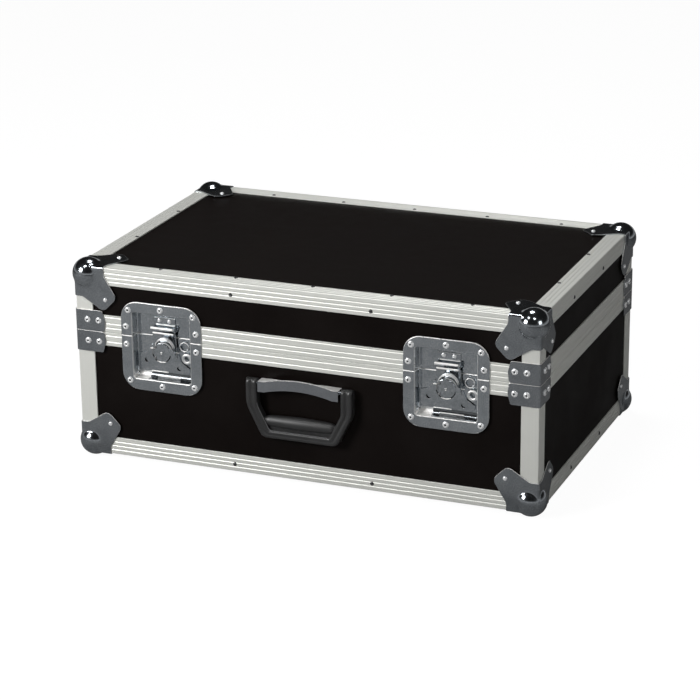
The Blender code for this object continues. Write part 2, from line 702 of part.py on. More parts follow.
def cam():
    """The turning cam about its shaft at the origin: riveted head, shaft, lobe, cap, ears and pin."""
    plate = DISH_FLOOR - PLATE_RISE
    cap_back = cap_front() + CAP_THICKNESS
    pin = wing_axis()
    ear_end = BARREL_LENGTH / 2 + RUN_GAP + EAR_LENGTH
    head = DISH_BACK + FIT_GAP
    parts = [cylinder(LOBE_RADIUS, (0, cap_back - CAP_THICKNESS / 2, -LOBE_OFFSET),
                      (0, plate - FIT_GAP, -LOBE_OFFSET)),
             cylinder(SHAFT_RADIUS, (0, cap_back, 0), (0, head + HEAD_THICKNESS / 2, 0), 16),
             cylinder(HEAD_RADIUS, (0, head, 0), (0, head + HEAD_THICKNESS, 0), 16),
             cylinder(WING_PIN_RADIUS, (pin.x, pin.y, -ear_end + EAR_LENGTH / 2),
                      (pin.x, pin.y, ear_end - EAR_LENGTH / 2), 8)]
    for sign in (-1, 1):
        ends = sorted((sign * ear_end, sign * (ear_end - EAR_LENGTH)))
        parts.append(box((pin.x - BARREL_RADIUS, pin.y - BARREL_RADIUS, ends[0]),
                         (pin.x + BARREL_RADIUS, cap_back - CAP_THICKNESS / 2, ends[1])))
    return join(cylinder(CAP_RADIUS, (0, cap_front(), 0), (0, cap_back, 0), 24), *parts)


def wing_back():
    """How far behind the case's front face the folded wing's back lies."""
    return WING_THICKNESS - DISH_OUT + 2 * FIT_GAP


def cap_front():
    return wing_back() + FIT_GAP


def wing_axis():
    """The wing's hinge axis, from the cam's shaft."""
    return Vector((-WING_HINGE_IN, wing_back() - WING_THICKNESS / 2 - FIT_GAP, 0))


def wing():
    """The folding wing, about the cam's shaft: a round plate with a lug, and a bored barrel at one side."""
    back = wing_back()
    front = back - WING_THICKNESS
    pin = wing_axis()
    start = pin.x + BARREL_RADIUS / 2
    disc = cylinder(WING_RADIUS, (0, front, 0), (0, back, 0), 28)
    keep = box((start, front - CUT_OVER, -WING_RADIUS), (WING_LUG, back + CUT_OVER, WING_RADIUS))
    half = WING_LUG_WIDTH / 2
    lug = prism(rounded([(0, -half, 0), (WING_LUG, -half, WING_LUG_RADIUS),
                         (WING_LUG, half, WING_LUG_RADIUS), (0, half, 0)], 4), "xz", front, back)
    barrel_end = BARREL_LENGTH / 2
    barrel = cylinder(BARREL_RADIUS, (pin.x, pin.y, -barrel_end), (pin.x, pin.y, barrel_end), 12)
    clear = [box((pin.x - CUT_OVER, front - CUT_OVER, low),
                 (pin.x + EAR_SWEEP + RUN_GAP, back + CUT_OVER, high))
             for low, high in ((-WING_RADIUS, -barrel_end), (barrel_end, WING_RADIUS))]
    shape = cut(join(common(disc, keep), lug, barrel), *clear)
    bore = cylinder(WING_PIN_RADIUS + FIT_GAP, (pin.x, pin.y, -BARREL_LENGTH),
                    (pin.x, pin.y, BARREL_LENGTH), 8)
    return cut(shape, bore)


def make_latches(lid_axis):
    """Two latches, each with a dish in both halves, a strike on the lid and a hook that the cam lifts."""
    upper = dish(LATCH_ABOVE_SEAM, RECESS_ABOVE_SEAM, 1)
    lower = base_dish()
    strike = prism(strip(strike_line(), SHEET), "yz", -STRIKE_WIDTH / 2, STRIKE_WIDTH / 2)
    claw, turn, flap = hook(), cam(), wing()
    for side, x in (("left", -LATCH_X), ("right", LATCH_X)):
        seam_point = (x, FRONT, SEAM)
        knob = Vector((x, FRONT, SEAM - KNOB_BELOW_SEAM))
        piece(side + "_latch_base_dish", mirrored(lower), STEEL, seam_point)
        piece(side + "_latch_lid_dish", mirrored(upper), STEEL, seam_point, parent=lid_axis)
        piece(side + "_latch_strike", mirrored(strike), BRIGHT_STEEL, seam_point, parent=lid_axis)
        piece(side + "_latch_hook", mirrored(claw), BRIGHT_STEEL, seam_point, origin=seam_point)
        turning = piece(side + "_latch_cam", mirrored(turn), BRIGHT_STEEL, knob, origin=knob)
        fold = axis_empty(side + "_wing_axis", knob + wing_axis(), parent=turning)
        piece(side + "_latch_wing", mirrored(flap), STEEL, knob, origin=knob + wing_axis(), parent=fold)
    discard(upper, lower, strike, claw, turn, flap)


def bow(half, level, sag):
    """A shallow arc from one side to the other, bowed up from its level by the sag."""
    radius = (half ** 2 + sag ** 2) / (2 * sag)
    angle = math.asin(half / radius)
    return arc((0, level + sag - radius), radius, math.pi / 2 + angle, math.pi / 2 - angle, 12)


def handle_bracket():
    """The chromed bracket about the handle's axis: a strap with two thick feet and a pin at each end."""
    half = BRACKET_HALF_WIDTH
    proud = HANDLE_STANDOFF - BRACKET_PROUD
    behind = proud + BRACKET_STRAP
    board = HANDLE_STANDOFF + BOARD_OUT - FIT_GAP
    foot = half - BRACKET_FOOT
    plan = [Vector(point) for point in ((-half, proud), (half, proud), (half, board), (foot, board),
                                        (BRACKET_TAPER_END, behind), (-BRACKET_TAPER_END, behind),
                                        (-foot, board), (-half, board))]
    face = [Vector((-half, BRACKET_ABOVE)), Vector((-half, -BRACKET_BELOW))]
    face += bow(foot, -BRACKET_BELOW, BRACKET_ARCH)
    face += [Vector((half, -BRACKET_BELOW)), Vector((half, BRACKET_ABOVE))]
    face += bow(foot, BRACKET_ABOVE, BRACKET_RISE)[::-1]
    shape = common(prism(plan, "xy", -2 * BRACKET_BELOW, BRACKET_ABOVE + 2 * BRACKET_RISE),
                   prism(face, "xz", 2 * proud, 2 * board))
    start = half - BRACKET_FOOT / 2
    end = HANDLE_INNER + PIVOT_PIN_LENGTH
    return join(shape, *[cylinder(PIVOT_PIN_RADIUS, (sign * start, 0, 0), (sign * end, 0, 0), 16)
                         for sign in (-1, 1)])


def handle_grip():
    """The moulded grip about its axis: two arms and a crowned bar."""
    outer, bottom = HANDLE_HALF_WIDTH, -GRIP_DROP
    inner = HANDLE_INNER
    top = ARM_THICKNESS / 2
    ridge = bottom + GRIP_HEIGHT
    right = [(0, bottom, 0), (GRIP_HALF_WIDTH, bottom, GRIP_CORNER_RADIUS),
             (outer, -ARM_STRAIGHT, ARM_OUTER_RADIUS), (outer, top + CUT_OVER, 0),
             (inner, top + CUT_OVER, 0), (inner, -ARM_STRAIGHT, ARM_INNER_RADIUS),
             (GRIP_INNER_HALF_WIDTH, ridge, GRIP_NOOK_RADIUS), (0, ridge + GRIP_CROWN, 0)]
    left = [(-x, z, radius) for x, z, radius in right[-2:0:-1]]
    face = rounded(right + left, 4)
    half = ARM_THICKNESS / 2
    side = arc((0, 0), half, math.pi, 0, 8)
    side += [Vector((half, bottom - CUT_OVER)), Vector((-half, bottom - CUT_OVER))]
    shape = common(prism(face, "xz", -ARM_THICKNESS, ARM_THICKNESS),
                   prism(side, "yz", -2 * outer, 2 * outer))
    shape = bevelled(shape, GRIP_EDGE, 1, math.radians(50))
    bore = PIVOT_PIN_RADIUS + FIT_GAP
    depth = inner + PIVOT_PIN_LENGTH + FIT_GAP
    start = inner - CUT_OVER
    return cut(shape, *[cylinder(bore, (sign * start, 0, 0), (sign * depth, 0, 0), 16)
                        for sign in (-1, 1)])


def make_handle():
    axis = Vector((0, FRONT - HANDLE_STANDOFF, SEAM - HANDLE_BELOW_SEAM))
    swing = axis_empty("handle_axis", axis)
    piece("handle_bracket", handle_bracket(), CHROME, axis)
    piece("handle_grip", handle_grip(), BLACK_PLASTIC, axis, origin=axis, parent=swing)


def hinge_leaf(up):
    """One hinge leaf about the hinge axis, with knuckles and a stop rib; up is 1 for the lid's leaf."""
    half = HINGE_WIDTH / 2
    middle = half * LID_KNUCKLE_SHARE
    face = BACK + FIT_GAP - HINGE_Y
    clear = KNUCKLE_RADIUS + RUN_GAP
    plate_ends = sorted((up * clear, up * HINGE_LEAF))
    shape = box((-half, face, plate_ends[0]), (half, face + LEAF_THICKNESS, plate_ends[1]))
    outer = middle + RUN_GAP
    runs = [(-middle, middle)] if up > 0 else [(-half, -outer), (outer, half)]
    parts = []
    for start, end in runs:
        tab = sorted((up * KNUCKLE_RADIUS / 4, up * (clear + CUT_OVER)))
        parts.append(box((start, face, tab[0]), (end, face + LEAF_THICKNESS, tab[1])))
        parts.append(cylinder(KNUCKLE_RADIUS, (start, 0, 0), (end, 0, 0), 16))
    if up > 0:
        rib = (STOP_HEIGHT, STOP_HEIGHT + STOP_RIB, STOP_REACH)
    else:
        top = STOP_HEIGHT + STOP_RIB
        tip = STOP_REACH * math.sin(STOP_ANGLE) - top * math.cos(STOP_ANGLE)
        reach = STOP_REACH * math.cos(STOP_ANGLE) + top * math.sin(STOP_ANGLE)
        rib = (-tip - FIT_GAP - STOP_RIB, -tip - FIT_GAP, reach)
    parts.append(box((-middle, face + LEAF_THICKNESS / 2, rib[0]), (middle, rib[2], rib[1])))
    shape = join(shape, *parts)
    if up > 0:
        bore = cylinder(HINGE_PIN_RADIUS + HINGE_BORE_SLACK, (-half, 0, 0), (half, 0, 0), 16)
        return cut(shape, bore)
    pin = cylinder(HINGE_PIN_RADIUS, (CUT_OVER - half, 0, 0), (half - CUT_OVER, 0, 0), 16)
    return join(shape, pin)


def make_hinges(lid_axis):
    for side, x in (("left", -HINGE_X), ("right", HINGE_X)):
        place = (x, HINGE_Y, SEAM)
        piece(side + "_hinge_base_leaf", hinge_leaf(-1), STEEL, place)
        piece(side + "_hinge_lid_leaf", hinge_leaf(1), STEEL, place, parent=lid_axis)


def main():
    lid_axis = axis_empty("lid_axis", (0, HINGE_Y, SEAM))
    make_boards(lid_axis)
    make_angles(lid_axis)
    make_profiles(lid_axis)
    make_foam(lid_axis)
    make_corners(lid_axis)
    make_braces(lid_axis)
    make_latches(lid_axis)
    make_handle()
    make_hinges(lid_axis)


clear_scene()
PARTS = new_collection("flight_case")
CORNERS = {"front_left": (-1, -1), "front_right": (1, -1),
           "back_left": (-1, 1), "back_right": (1, 1)}
LAMINATE = new_material("black_laminate", (0.012, 0.011, 0.010), 0.45, 0)
ALUMINIUM = new_material("satin_aluminium", (0.78, 0.78, 0.76), 0.38, 1)
STEEL = new_material("zinc_steel", (0.42, 0.43, 0.45), 0.28, 1)
BRIGHT_STEEL = new_material("bright_steel", (0.62, 0.62, 0.63), 0.18, 1)
CHROME = new_material("chrome", (0.75, 0.75, 0.76), 0.10, 1)
BLACK_PLASTIC = new_material("black_plastic", (0.020, 0.020, 0.021), 0.42, 0)
FOAM = new_material("charcoal_foam", (0.030, 0.031, 0.033), 0.95, 0)
main()
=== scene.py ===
"""Looks of a foam-lined flight case: ribbed extrusions, pressed corners, latches, rivets, foam and finishes
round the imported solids. Metres, +Z up."""
import math

import bmesh
import bpy
from mathutils import Matrix, Vector, noise


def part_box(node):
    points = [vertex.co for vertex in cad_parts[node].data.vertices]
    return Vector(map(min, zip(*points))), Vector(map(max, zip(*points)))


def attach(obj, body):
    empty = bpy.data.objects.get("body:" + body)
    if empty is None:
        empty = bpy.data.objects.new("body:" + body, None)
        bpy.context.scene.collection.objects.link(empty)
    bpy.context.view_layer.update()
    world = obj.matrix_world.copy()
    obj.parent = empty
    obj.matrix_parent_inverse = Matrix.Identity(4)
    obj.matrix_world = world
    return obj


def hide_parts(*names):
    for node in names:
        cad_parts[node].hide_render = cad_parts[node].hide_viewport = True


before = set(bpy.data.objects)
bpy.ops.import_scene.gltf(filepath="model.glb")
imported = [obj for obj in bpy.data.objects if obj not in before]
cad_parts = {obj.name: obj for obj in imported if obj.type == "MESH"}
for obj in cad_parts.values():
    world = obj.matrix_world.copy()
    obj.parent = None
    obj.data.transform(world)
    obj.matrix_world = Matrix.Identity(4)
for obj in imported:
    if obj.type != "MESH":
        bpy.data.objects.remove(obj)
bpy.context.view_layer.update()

# The case's outer faces and levels, from the frame
SIDE, BACK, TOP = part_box("lid_edge_frame")[1]
FRONT = -BACK
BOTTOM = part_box("base_edge_frame")[0].z
SEAM = (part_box("brace_base_front_left")[1].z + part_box("brace_lid_front_left")[0].z) / 2
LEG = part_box("base_edge_frame")[1].z - BOTTOM
BASE_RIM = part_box("base_profile")[1].z
BASE_FLANGE = BASE_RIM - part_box("base_profile")[0].z
LID_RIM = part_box("brace_lid_front_left")[0].z
LID_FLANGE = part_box("lid_profile")[1].z - LID_RIM
DISH_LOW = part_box("right_latch_base_dish")[0]
DISH_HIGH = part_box("right_latch_lid_dish")[1]
LATCH_X = (DISH_LOW.x + DISH_HIGH.x) / 2
LATCHES = {"left": -LATCH_X, "right": LATCH_X}
NOTCH_HALF = LATCH_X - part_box("base_profile_front")[1].x
CORNERS = {"front_left": (-1, -1), "front_right": (1, -1), "back_left": (-1, 1), "back_right": (1, 1)}
HALVES = ("base", "lid")
LEVELS = {"base": (BOTTOM, 1), "lid": (TOP, -1)}

# Extruded aluminium
WALL = 0.0015
EDGE_RADIUS = 0.0011
LIP_RADIUS = 0.0004
GROOVE_HALF = 0.0010
GROOVE_DEPTH = 0.00045
ANGLE_GROOVES = (0.0060, 0.0113, 0.0165)
LID_GROOVES = (0.0023, 0.0103, 0.0160)
BASE_GROOVES = (0.0041, 0.0118)
PROFILE_OPEN = 0.0091
PROFILE_IN = 0.0103
INNER_FLANGE = 0.0080
LID_WEB = 0.0020
BASE_WEB = 0.0052
TONGUE = (0.0050, 0.0070, 0.0035)
GROOVE = (0.0044, 0.0081, 0.0039)

# Pressed steel
SHEET = 0.0012
SHEET_OUT = 0.0015
BALL_RADIUS = 0.0195
BALL_INSET = 0.0120
FOOT_FLAT = 0.0005
LEG_BEND = 0.0030
BALL_BLEND = 0.0020
BALL_RUN_OUT = 0.006
BALL_STEPS = 46
FAN_STEP = 0.0022
SHEET_BEVEL = 0.0009
LEG_OUTLINE = [(0.0385, -SHEET_OUT, 0), (0.0385, 0.0095, 0.010), (0.0555, 0.0370, 0.008)]
LEG_OUTLINE += [(v, u, radius) for u, v, radius in LEG_OUTLINE[::-1]]
LEG_RIVET = 0.0400

# Latches, about the seam on the front face
RECESS_HALF = 0.038
RECESS_DOWN = 0.0540
RECESS_FLOOR = 0.0115
# Half width, reach down, reach up and corner radius
FLANGE = ((DISH_HIGH.x - DISH_LOW.x) / 2, SEAM - DISH_LOW.z, DISH_HIGH.z - SEAM, 0.022)
RECESS = (RECESS_HALF, RECESS_DOWN, 0.0297, 0.0035)
RECESS_BEND = 0.0014
RIM_RADIUS = 0.0011
FLOOR_BEND = 0.0022
BOTTOM_RISE = 0.0070
BOTTOM_RUN = 0.0050
# Cuts across the recess's bottom bend; left of the first the bend is painted as a highlight, right of it
# with painted shade.
BRIGHT_BOTTOM = (-0.020, 0.012)
SEAM_GAP = 0.0002
SEAM_STRIP = 0.0012
SEAM_BACK = 0.0008
KNOB_DROP = 0.0179
WING_FOLD = (-0.0086, -0.0099)
PLATE_FRONT = 0.0094
PLATE_OUTLINE = ((-0.0355, -0.0252, 0.002), (-0.0262, -0.0232, 0.004), (-0.0210, -0.0177, 0.003),
                 (-0.0190, -0.0120, 0.002), (0.0150, -0.0120, 0.002), (0.0165, -0.0205, 0.003),
                 (0.0215, -0.0314, 0.005), (0.0320, -0.0385, 0.002), (0.0320, -0.0444, 0.003),
                 (0.0045, -0.0444, 0.002), (0.0035, -0.0465, 0.001), (-0.0190, -0.0465, 0.002),
                 (-0.0205, -0.0444, 0.001), (-0.0355, -0.0444, 0.002))
PITS = ((-0.0250, -0.0327), (0.0180, -0.0395))
PIT_RADIUS = 0.0031
LOOP = (0.026, -0.0106)
EYE = (0.030, -0.0247)
STEM = ((-0.0058, -0.0019), (-0.0042, -0.0019), (-0.0042, 0.0019), (-0.0058, 0.0019))
# Bars as radius, left end, right end, depth and height
FOLD = (0.0008, -0.0190, 0.0035, PLATE_FRONT + 0.0002, -0.0459)
LOW_BEAD = (0.0008, -0.0115, 0.0190, 0.0095, -0.0517)
CATCH_BEAD = (0.0007, -0.0115, 0.0140, 0.0099, 0.0142)
RIDGES = ((0.0015, -0.0140, 0.0140, 0.0055, 0.0052), (0.0016, -0.0158, 0.0140, 0.0034, 0.0114))
TOES = ((0.0006, -0.0190, -0.0132, 0.0078, -0.0162), (0.0006, 0.0132, 0.0195, 0.0078, -0.0186))
# Sections and outlines of the small pressed and turned forms
DRUM_SECTION = ((0.0080, -0.0066), (0.0108, -0.0066), (0.0112, -0.0062), (0.0112, -0.0028),
                (0.0108, -0.0024), (0.0080, -0.0024))
KNOB_RIVET = ((0.0017, 0.0003), (0.0016, 0.0006), (0.0010, 0.0008), (0.0007, 0.0006), (0, 0.0006))
HOOD_SECTION = ((0.0102, 0.0096), (0.0102, 0.0082), (0.0112, 0.0082), (0.0113, 0.0063), (0.0117, 0.0056),
                (0.0122, 0.0054), (0.0125, 0.0059), (0.0127, 0.0066), (0.0130, 0.0063), (0.0134, 0.0065),
                (0.0137, 0.0073), (0.0138, 0.0096))

# Handle
GRIP_LEAN = 0.020
GRIP_ARM = 0.0145
GRIP_INSIDE = 0.0383
GRIP_BAND = 0.0097
# Outside and inside: the shoulder's height and radius, and the radius at the band
GRIP_BENDS = ((-0.0270, 0.032, 0.010), (-0.0269, 0.013, 0.005))
END_TURNS = (22, 45, 66, 84)
GRIP_SECTION = [(0.06, 1), (0, 0.86), (0, -0.62), (0.03, -0.80), (0.10, -0.93), (0.22, -1), (0.34, -0.95),
                (0.42, -0.82), (0.46, -0.76), (0.50, -0.74)]
GRIP_SECTION += [(1 - across, depth) for across, depth in GRIP_SECTION[-2::-1]]
# Which face of the grip's section carries a painted highlight line.
GRIP_HIGHLIGHT_LINE = 15
ROLL_SWELL = ((0.0045, -0.0460), (0.0050, -0.0430), (0.0058, -0.0418), (0.0064, -0.0395), (0.0071, -0.0260),
              (0.0077, -0.0120), (0.0079, 0))
ROLL_LEAN = math.radians(-22)
WEB = ((-0.042, 0.020), (0.042, 0.020), (0.040, 0.008), (-0.040, 0.008))
BEAD_UP = 0.0066

# Foam
FOAM_WALL = 0.010
FOAM_BEVEL = 0.0028
# How far a pad's face and its root lie inwards
PAD_DEPTHS = {"base": (0.020, 0.010), "lid": (0.025, 0.011)}
PAD_GAP = 0.0004
PAD_EDGE = 0.009
PAD_STEP = 0.0036
PAD_SWELL = 0.0004
CRATE_STEPS = 11
CRATE_STEP = 0.038 / CRATE_STEPS
CRATE_CUT = 0.012

# Rivets and screws, about the seam, the corners and the outer levels
DISH_RIVETS = {
    "base": ((-0.0464, -0.0114), (0.0464, -0.0114), (-0.0430, -0.0574), (0, -0.0615), (0.0430, -0.0574)),
    "lid": ((-0.0430, 0.0323), (0, 0.0363), (0.0430, 0.0323), (-0.0464, 0.0113), (0.0464, 0.0113))}
BRACE_RIVET_UP = {"base": -0.0127, "lid": 0.0142}
BRACE_RIVET_INSETS = (0.0149, 0.0297)
SCREW_IN = {"base": 0.009, "lid": 0.0153}
SCREW_INSET = 0.0193
LONG_SCREWS = (-0.189, -0.090, 0.009, 0.108, 0.207)
HEAD_PROFILE = ((0.0040, -0.0002), (0.0040, 0.0003), (0.0037, 0.0008), (0.0031, 0.0013), (0.0023, 0.0016),
                (0.0017, 0.0017), (0.0013, 0.0015), (0.0011, -0.0002), (0, -0.0002))
SMALL_PROFILE = ((0.0027, -0.0002), (0.0027, 0.0003), (0.0024, 0.0009), (0.0017, 0.0014), (0.0008, 0.0016),
                 (0, 0.0016))
SCREW_PROFILE = ((0.0024, -0.0003), (0.0024, 0.0001), (0.0021, 0.0005), (0.0012, 0.0008), (0.0007, 0.0005),
                 (0, 0.0004))

# Camera, fitted to the case's corners
CAMERA_PLACE = (1.0926, -2.7509, 1.1565)
CAMERA_BACK = (0.3519, -0.8747, 0.3333)
CAMERA_ROLL = math.radians(-0.61)
LENS = 128.86
SENSOR = 36.0


# Small tools for meshes

def linked(name, data):
    """Makes data into an object of the scene."""
    made = bpy.data.objects.new(name, data)
    bpy.context.scene.collection.objects.link(made)
    return made


def joined(name, bm, recalc=True):
    """Makes a bmesh into an object of the scene."""
    if recalc:
        bmesh.ops.recalc_face_normals(bm, faces=bm.faces)
    mesh = bpy.data.meshes.new(name)
    bm.to_mesh(mesh)
    bm.free()
    return linked(name, mesh)


def taken(obj):
    """An object's mesh as a bmesh. The object is removed."""
    bm = bmesh.new()
    bm.from_mesh(obj.data)
    bpy.data.objects.remove(obj)
    return bm


def settled(obj):
    """Replaces an object by a plain mesh of what its modifiers make of it."""
    bpy.context.view_layer.update()
    graph = bpy.context.evaluated_depsgraph_get()
    mesh = bpy.data.meshes.new_from_object(obj.evaluated_get(graph), preserve_all_data_layers=True,
                                           depsgraph=graph)
    name = obj.name
    bpy.data.objects.remove(obj)
    mesh.name = name
    return linked(name, mesh)


def changed(obj, kind, **settings):
    """Adds a modifier to an object."""
    modifier = obj.modifiers.new(kind.lower(), kind)
    for key, value in settings.items():
        setattr(modifier, key, value)
    return modifier


def thickened(skin):
    """A bmesh of the pressed sheet behind a skin."""
    changed(skin, "SOLIDIFY", thickness=SHEET, offset=-1)
    return taken(settled(skin))


def dress(name, bm, finish, body, node, sharp=32, recalc=False):
    """Makes a bmesh into a piece with its finish, its body and the node that it stands for."""
    obj = joined(name, bm, recalc)
    obj.data.materials.clear()
    obj.data.materials.append(finish)
    obj.data.shade_smooth()
    obj.data.set_sharp_from_angle(angle=math.radians(sharp))
    changed(obj, "WEIGHTED_NORMAL", keep_sharp=True, weight=60, mode="FACE_AREA")
    obj = settled(obj)
    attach(obj, body)
    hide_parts(node)
    return obj


def flipped(bm, x, y, z):
    """Turns a bmesh over along the axes whose factor is -1."""
    bmesh.ops.transform(bm, matrix=Matrix.Diagonal((x, y, z, 1)), verts=bm.verts)
    if x * y * z < 0:
        bmesh.ops.reverse_faces(bm, faces=bm.faces)
    return bm


def moved(bm, place):
    bmesh.ops.translate(bm, vec=Vector(place), verts=bm.verts)
    return bm


def laid(bm, axis="X"):
    """Turns a bmesh by a quarter about an axis."""
    bmesh.ops.rotate(bm, cent=(0, 0, 0), matrix=Matrix.Rotation(math.pi / 2, 3, axis), verts=bm.verts)
    return bm


def quarter(steps):
    """Angles from 0 to a quarter turn."""
    return [math.pi / 2 * step / steps for step in range(steps + 1)]


def circle(steps, wide, high):
    """Points of an ellipse about the origin."""
    return [(wide * math.cos(math.tau * step / steps), high * math.sin(math.tau * step / steps))
            for step in range(steps)]


def rounded(corners, steps=5):
    """Outline points for corners given as (u, v, radius), with an arc where the radius isn't 0."""
    points = []
    for index, (u, v, radius) in enumerate(corners):
        here = Vector((u, v))
        if radius == 0:
            points.append(here)
            continue
        before = (Vector(corners[index - 1][:2]) - here).normalized()
        after = (Vector(corners[(index + 1) % len(corners)][:2]) - here).normalized()
        half = before.angle(after) / 2
        centre = here + (before + after).normalized() * radius / math.sin(half)
        first = here + before * radius / math.tan(half) - centre
        last = here + after * radius / math.tan(half) - centre
        start = math.atan2(first.y, first.x)
        turn = (math.atan2(last.y, last.x) - start + math.pi) % math.tau - math.pi
        for step in range(steps + 1):
            angle = start + turn * step / steps
            points.append(centre + Vector((math.cos(angle), math.sin(angle))) * radius)
    return points


def grooved(start, end, inward, places):
    """A straight stretch of a section with V grooves at distances from its start."""
    start, end, inward = Vector(start), Vector(end), Vector(inward)
    along = (end - start).normalized()
    points = []
    for place in places:
        for across, share in ((-1, 0), (-0.5, 0.5), (-0.15, 1), (0.15, 1), (0.5, 0.5), (1, 0)):
            points.append(start + along * (place + across * GROOVE_HALF) + inward * share * GROOVE_DEPTH)
    return points


def loft(rings, around, capped=False, rub_and_highlight=()):
    """A skin over rings of points. Its map runs along the case's axis in u and round the ring in v, and
    the faces that start at the given rings are marked as edges: rubbed, and painted as a highlight where
    they face up."""
    bm = bmesh.new()
    run = bm.loops.layers.uv.new("run")
    edge = bm.faces.layers.float.new("edge")
    rows = [[bm.verts.new(point) for point in ring] for ring in rings]
    size = len(rows[0])
    lengths = [0.0]
    for index in range(size):
        lengths.append(lengths[-1] + (rings[0][(index + 1) % size] - rings[0][index]).length)
    pairs = list(zip(rows, rows[1:]))
    if around:
        pairs.append((rows[-1], rows[0]))
    for number, (near, far) in enumerate(pairs):
        step = far[0].co - near[0].co
        axis = max(range(3), key=lambda item: abs(step[item]))
        for index in range(size):
            after = (index + 1) % size
            face = bm.faces.new((near[index], near[after], far[after], far[index]))
            face[edge] = number in rub_and_highlight
            marks = (lengths[index], lengths[index + 1], lengths[index + 1], lengths[index])
            for corner, mark in zip(face.loops, marks):
                corner[run].uv = (corner.vert.co[axis], mark)
    if capped:
        for row in (rows[0], rows[-1]):
            bm.faces.new(row)
    return bm


def solid_copy(node):
    """A bmesh of a CAD node, with its triangles welded and joined up to flat faces."""
    bm = bmesh.new()
    bm.from_mesh(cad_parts[node].data)
    bmesh.ops.remove_doubles(bm, verts=bm.verts, dist=1e-5)
    bmesh.ops.dissolve_limit(bm, angle_limit=math.radians(1), verts=bm.verts, edges=bm.edges)
    return bm


def open_edges(bm):
    return [edge for edge in bm.edges if edge.is_boundary]


def cut(bm, place, normal, clear=False, fill=False):
    """Cuts a bmesh by a plane. What lies on the normal's side can go, and the hole can be closed."""
    bmesh.ops.bisect_plane(bm, geom=bm.verts[:] + bm.edges[:] + bm.faces[:], plane_co=place, plane_no=normal,
                           clear_outer=clear)
    if fill:
        bmesh.ops.holes_fill(bm, edges=open_edges(bm), sides=0)
    return bm


def bevel_edges(bm, width, segments=2, limit=35, where=None):
    """Rounds a bmesh's sharp edges, and marks the new faces as rubbed edges, painted as a highlight where
    they face up.
    """
    rub_and_highlight = bm.faces.layers.float.get("edge") or bm.faces.layers.float.new("edge")
    sharp = [edge for edge in bm.edges
             if len(edge.link_faces) == 2 and edge.calc_face_angle() > math.radians(limit)
             and (where is None or where((edge.verts[0].co + edge.verts[1].co) / 2))]
    made = bmesh.ops.bevel(bm, geom=sharp, offset=width, segments=segments, profile=0.6, affect="EDGES",
                           clamp_overlap=True)
    for face in made["faces"]:
        face[rub_and_highlight] = 1
    return bm


def marked(bm, value, where=lambda face, middle: True, layer="edge"):
    """Marks faces as rubbed edges up to 1, painted as a highlight most where they face up, and beyond 1 as a
    painted highlight anywhere; in another layer, marks painted shade.
    """
    mark = bm.faces.layers.float.get(layer) or bm.faces.layers.float.new(layer)
    bm.normal_update()
    for face in bm.faces:
        if where(face, face.calc_center_median()):
            face[mark] = value
    return bm


def prism(outline, low, high):
    """A flat outline in x and z, made solid between two depths behind the front face."""
    bm = bmesh.new()
    near, far = ([bm.verts.new((x, depth, z)) for x, z in outline] for depth in (low, high))
    bm.faces.new(near)
    bm.faces.new(far[::-1])
    for index in range(len(outline)):
        after = (index + 1) % len(outline)
        bm.faces.new((near[after], near[index], far[index], far[after]))
    return bm


def turned(profile, steps=24, closed=False):
    """A turned shape about the z axis, from (radius, height) points. A point on the axis closes it there."""
    bm = bmesh.new()
    rows = []
    for radius, height in profile:
        if radius < 1e-7:
            rows.append([bm.verts.new((0, 0, height))] * steps)
        else:
            rows.append([bm.verts.new((x, y, height)) for x, y in circle(steps, radius, radius)])
    pairs = list(zip(rows, rows[1:]))
    if closed:
        pairs.append((rows[-1], rows[0]))
    for near, far in pairs:
        for step in range(steps):
            after = (step + 1) % steps
            points = []
            for point in (near[step], near[after], far[after], far[step]):
                if point not in points:
                    points.append(point)
            if len(points) > 2:
                bm.faces.new(points)
    return bm


# Shader node groups and finishes

def add(tree, kind, inputs=None, **settings):
    """Adds a node, sets its properties, and links or sets its inputs."""
    node = tree.nodes.new(kind)
    for key, value in settings.items():
        setattr(node, key, value)
    for key, value in (inputs or {}).items():
        if isinstance(value, bpy.types.NodeSocket):
            tree.links.new(value, node.inputs[key])
        else:
            node.inputs[key].default_value = value
    return node


def shade(tree, kind, inputs=None, **settings):
    """A new shader node's first output."""
    return add(tree, "ShaderNode" + kind, inputs, **settings).outputs[0]


def figure(tree, operation, *values, clamp=False):
    """What a math node makes of its values."""
    return shade(tree, "Math", dict(enumerate(values)), operation=operation, use_clamp=clamp)


def spread(tree, value, low, high, start=0, end=1, **settings):
    """A value brought from one range to another."""
    ends = {"From Min": low, "From Max": high, "To Min": start, "To Max": end}
    return shade(tree, "MapRange", {"Value": value, **ends}, **settings)


def attribute(tree, name):
    return add(tree, "ShaderNodeAttribute", attribute_name=name).outputs["Fac"]


def share_of(tree, vector, axis):
    return add(tree, "ShaderNodeSeparateXYZ", {0: vector}).outputs[axis]


def cloudy(tree, spot, scale, detail, roughness=0.5):
    """Soft noise as a value."""
    return shade(tree, "TexNoise", {"Vector": spot, "Scale": scale, "Detail": detail,
                                    "Roughness": roughness})


def mix(tree, factor, first, second):
    """A colour between two others."""
    first, second = (value if isinstance(value, bpy.types.NodeSocket) else (*value, 1)
                     for value in (first, second))
    return add(tree, "ShaderNodeMix", {0: factor, 6: first, 7: second}, data_type="RGBA").outputs[2]


def level(tree, value, low, high):
    """A value from 0 to 1, spread between two others."""
    return spread(tree, value, 0, 1, low, high)


def new_group(name, inputs, output):
    """A shader node group with its sockets. An input without a value is a vector."""
    tree = bpy.data.node_groups.new(name, "ShaderNodeTree")
    for socket, default in inputs.items():
        kind = "Vector" if default is None else "Float"
        made = tree.interface.new_socket(socket, in_out="INPUT", socket_type="NodeSocket" + kind)
        if default is not None:
            made.default_value = default
    tree.interface.new_socket(output, in_out="OUTPUT", socket_type="NodeSocketFloat")
    return tree, add(tree, "NodeGroupInput").outputs, add(tree, "NodeGroupOutput").inputs


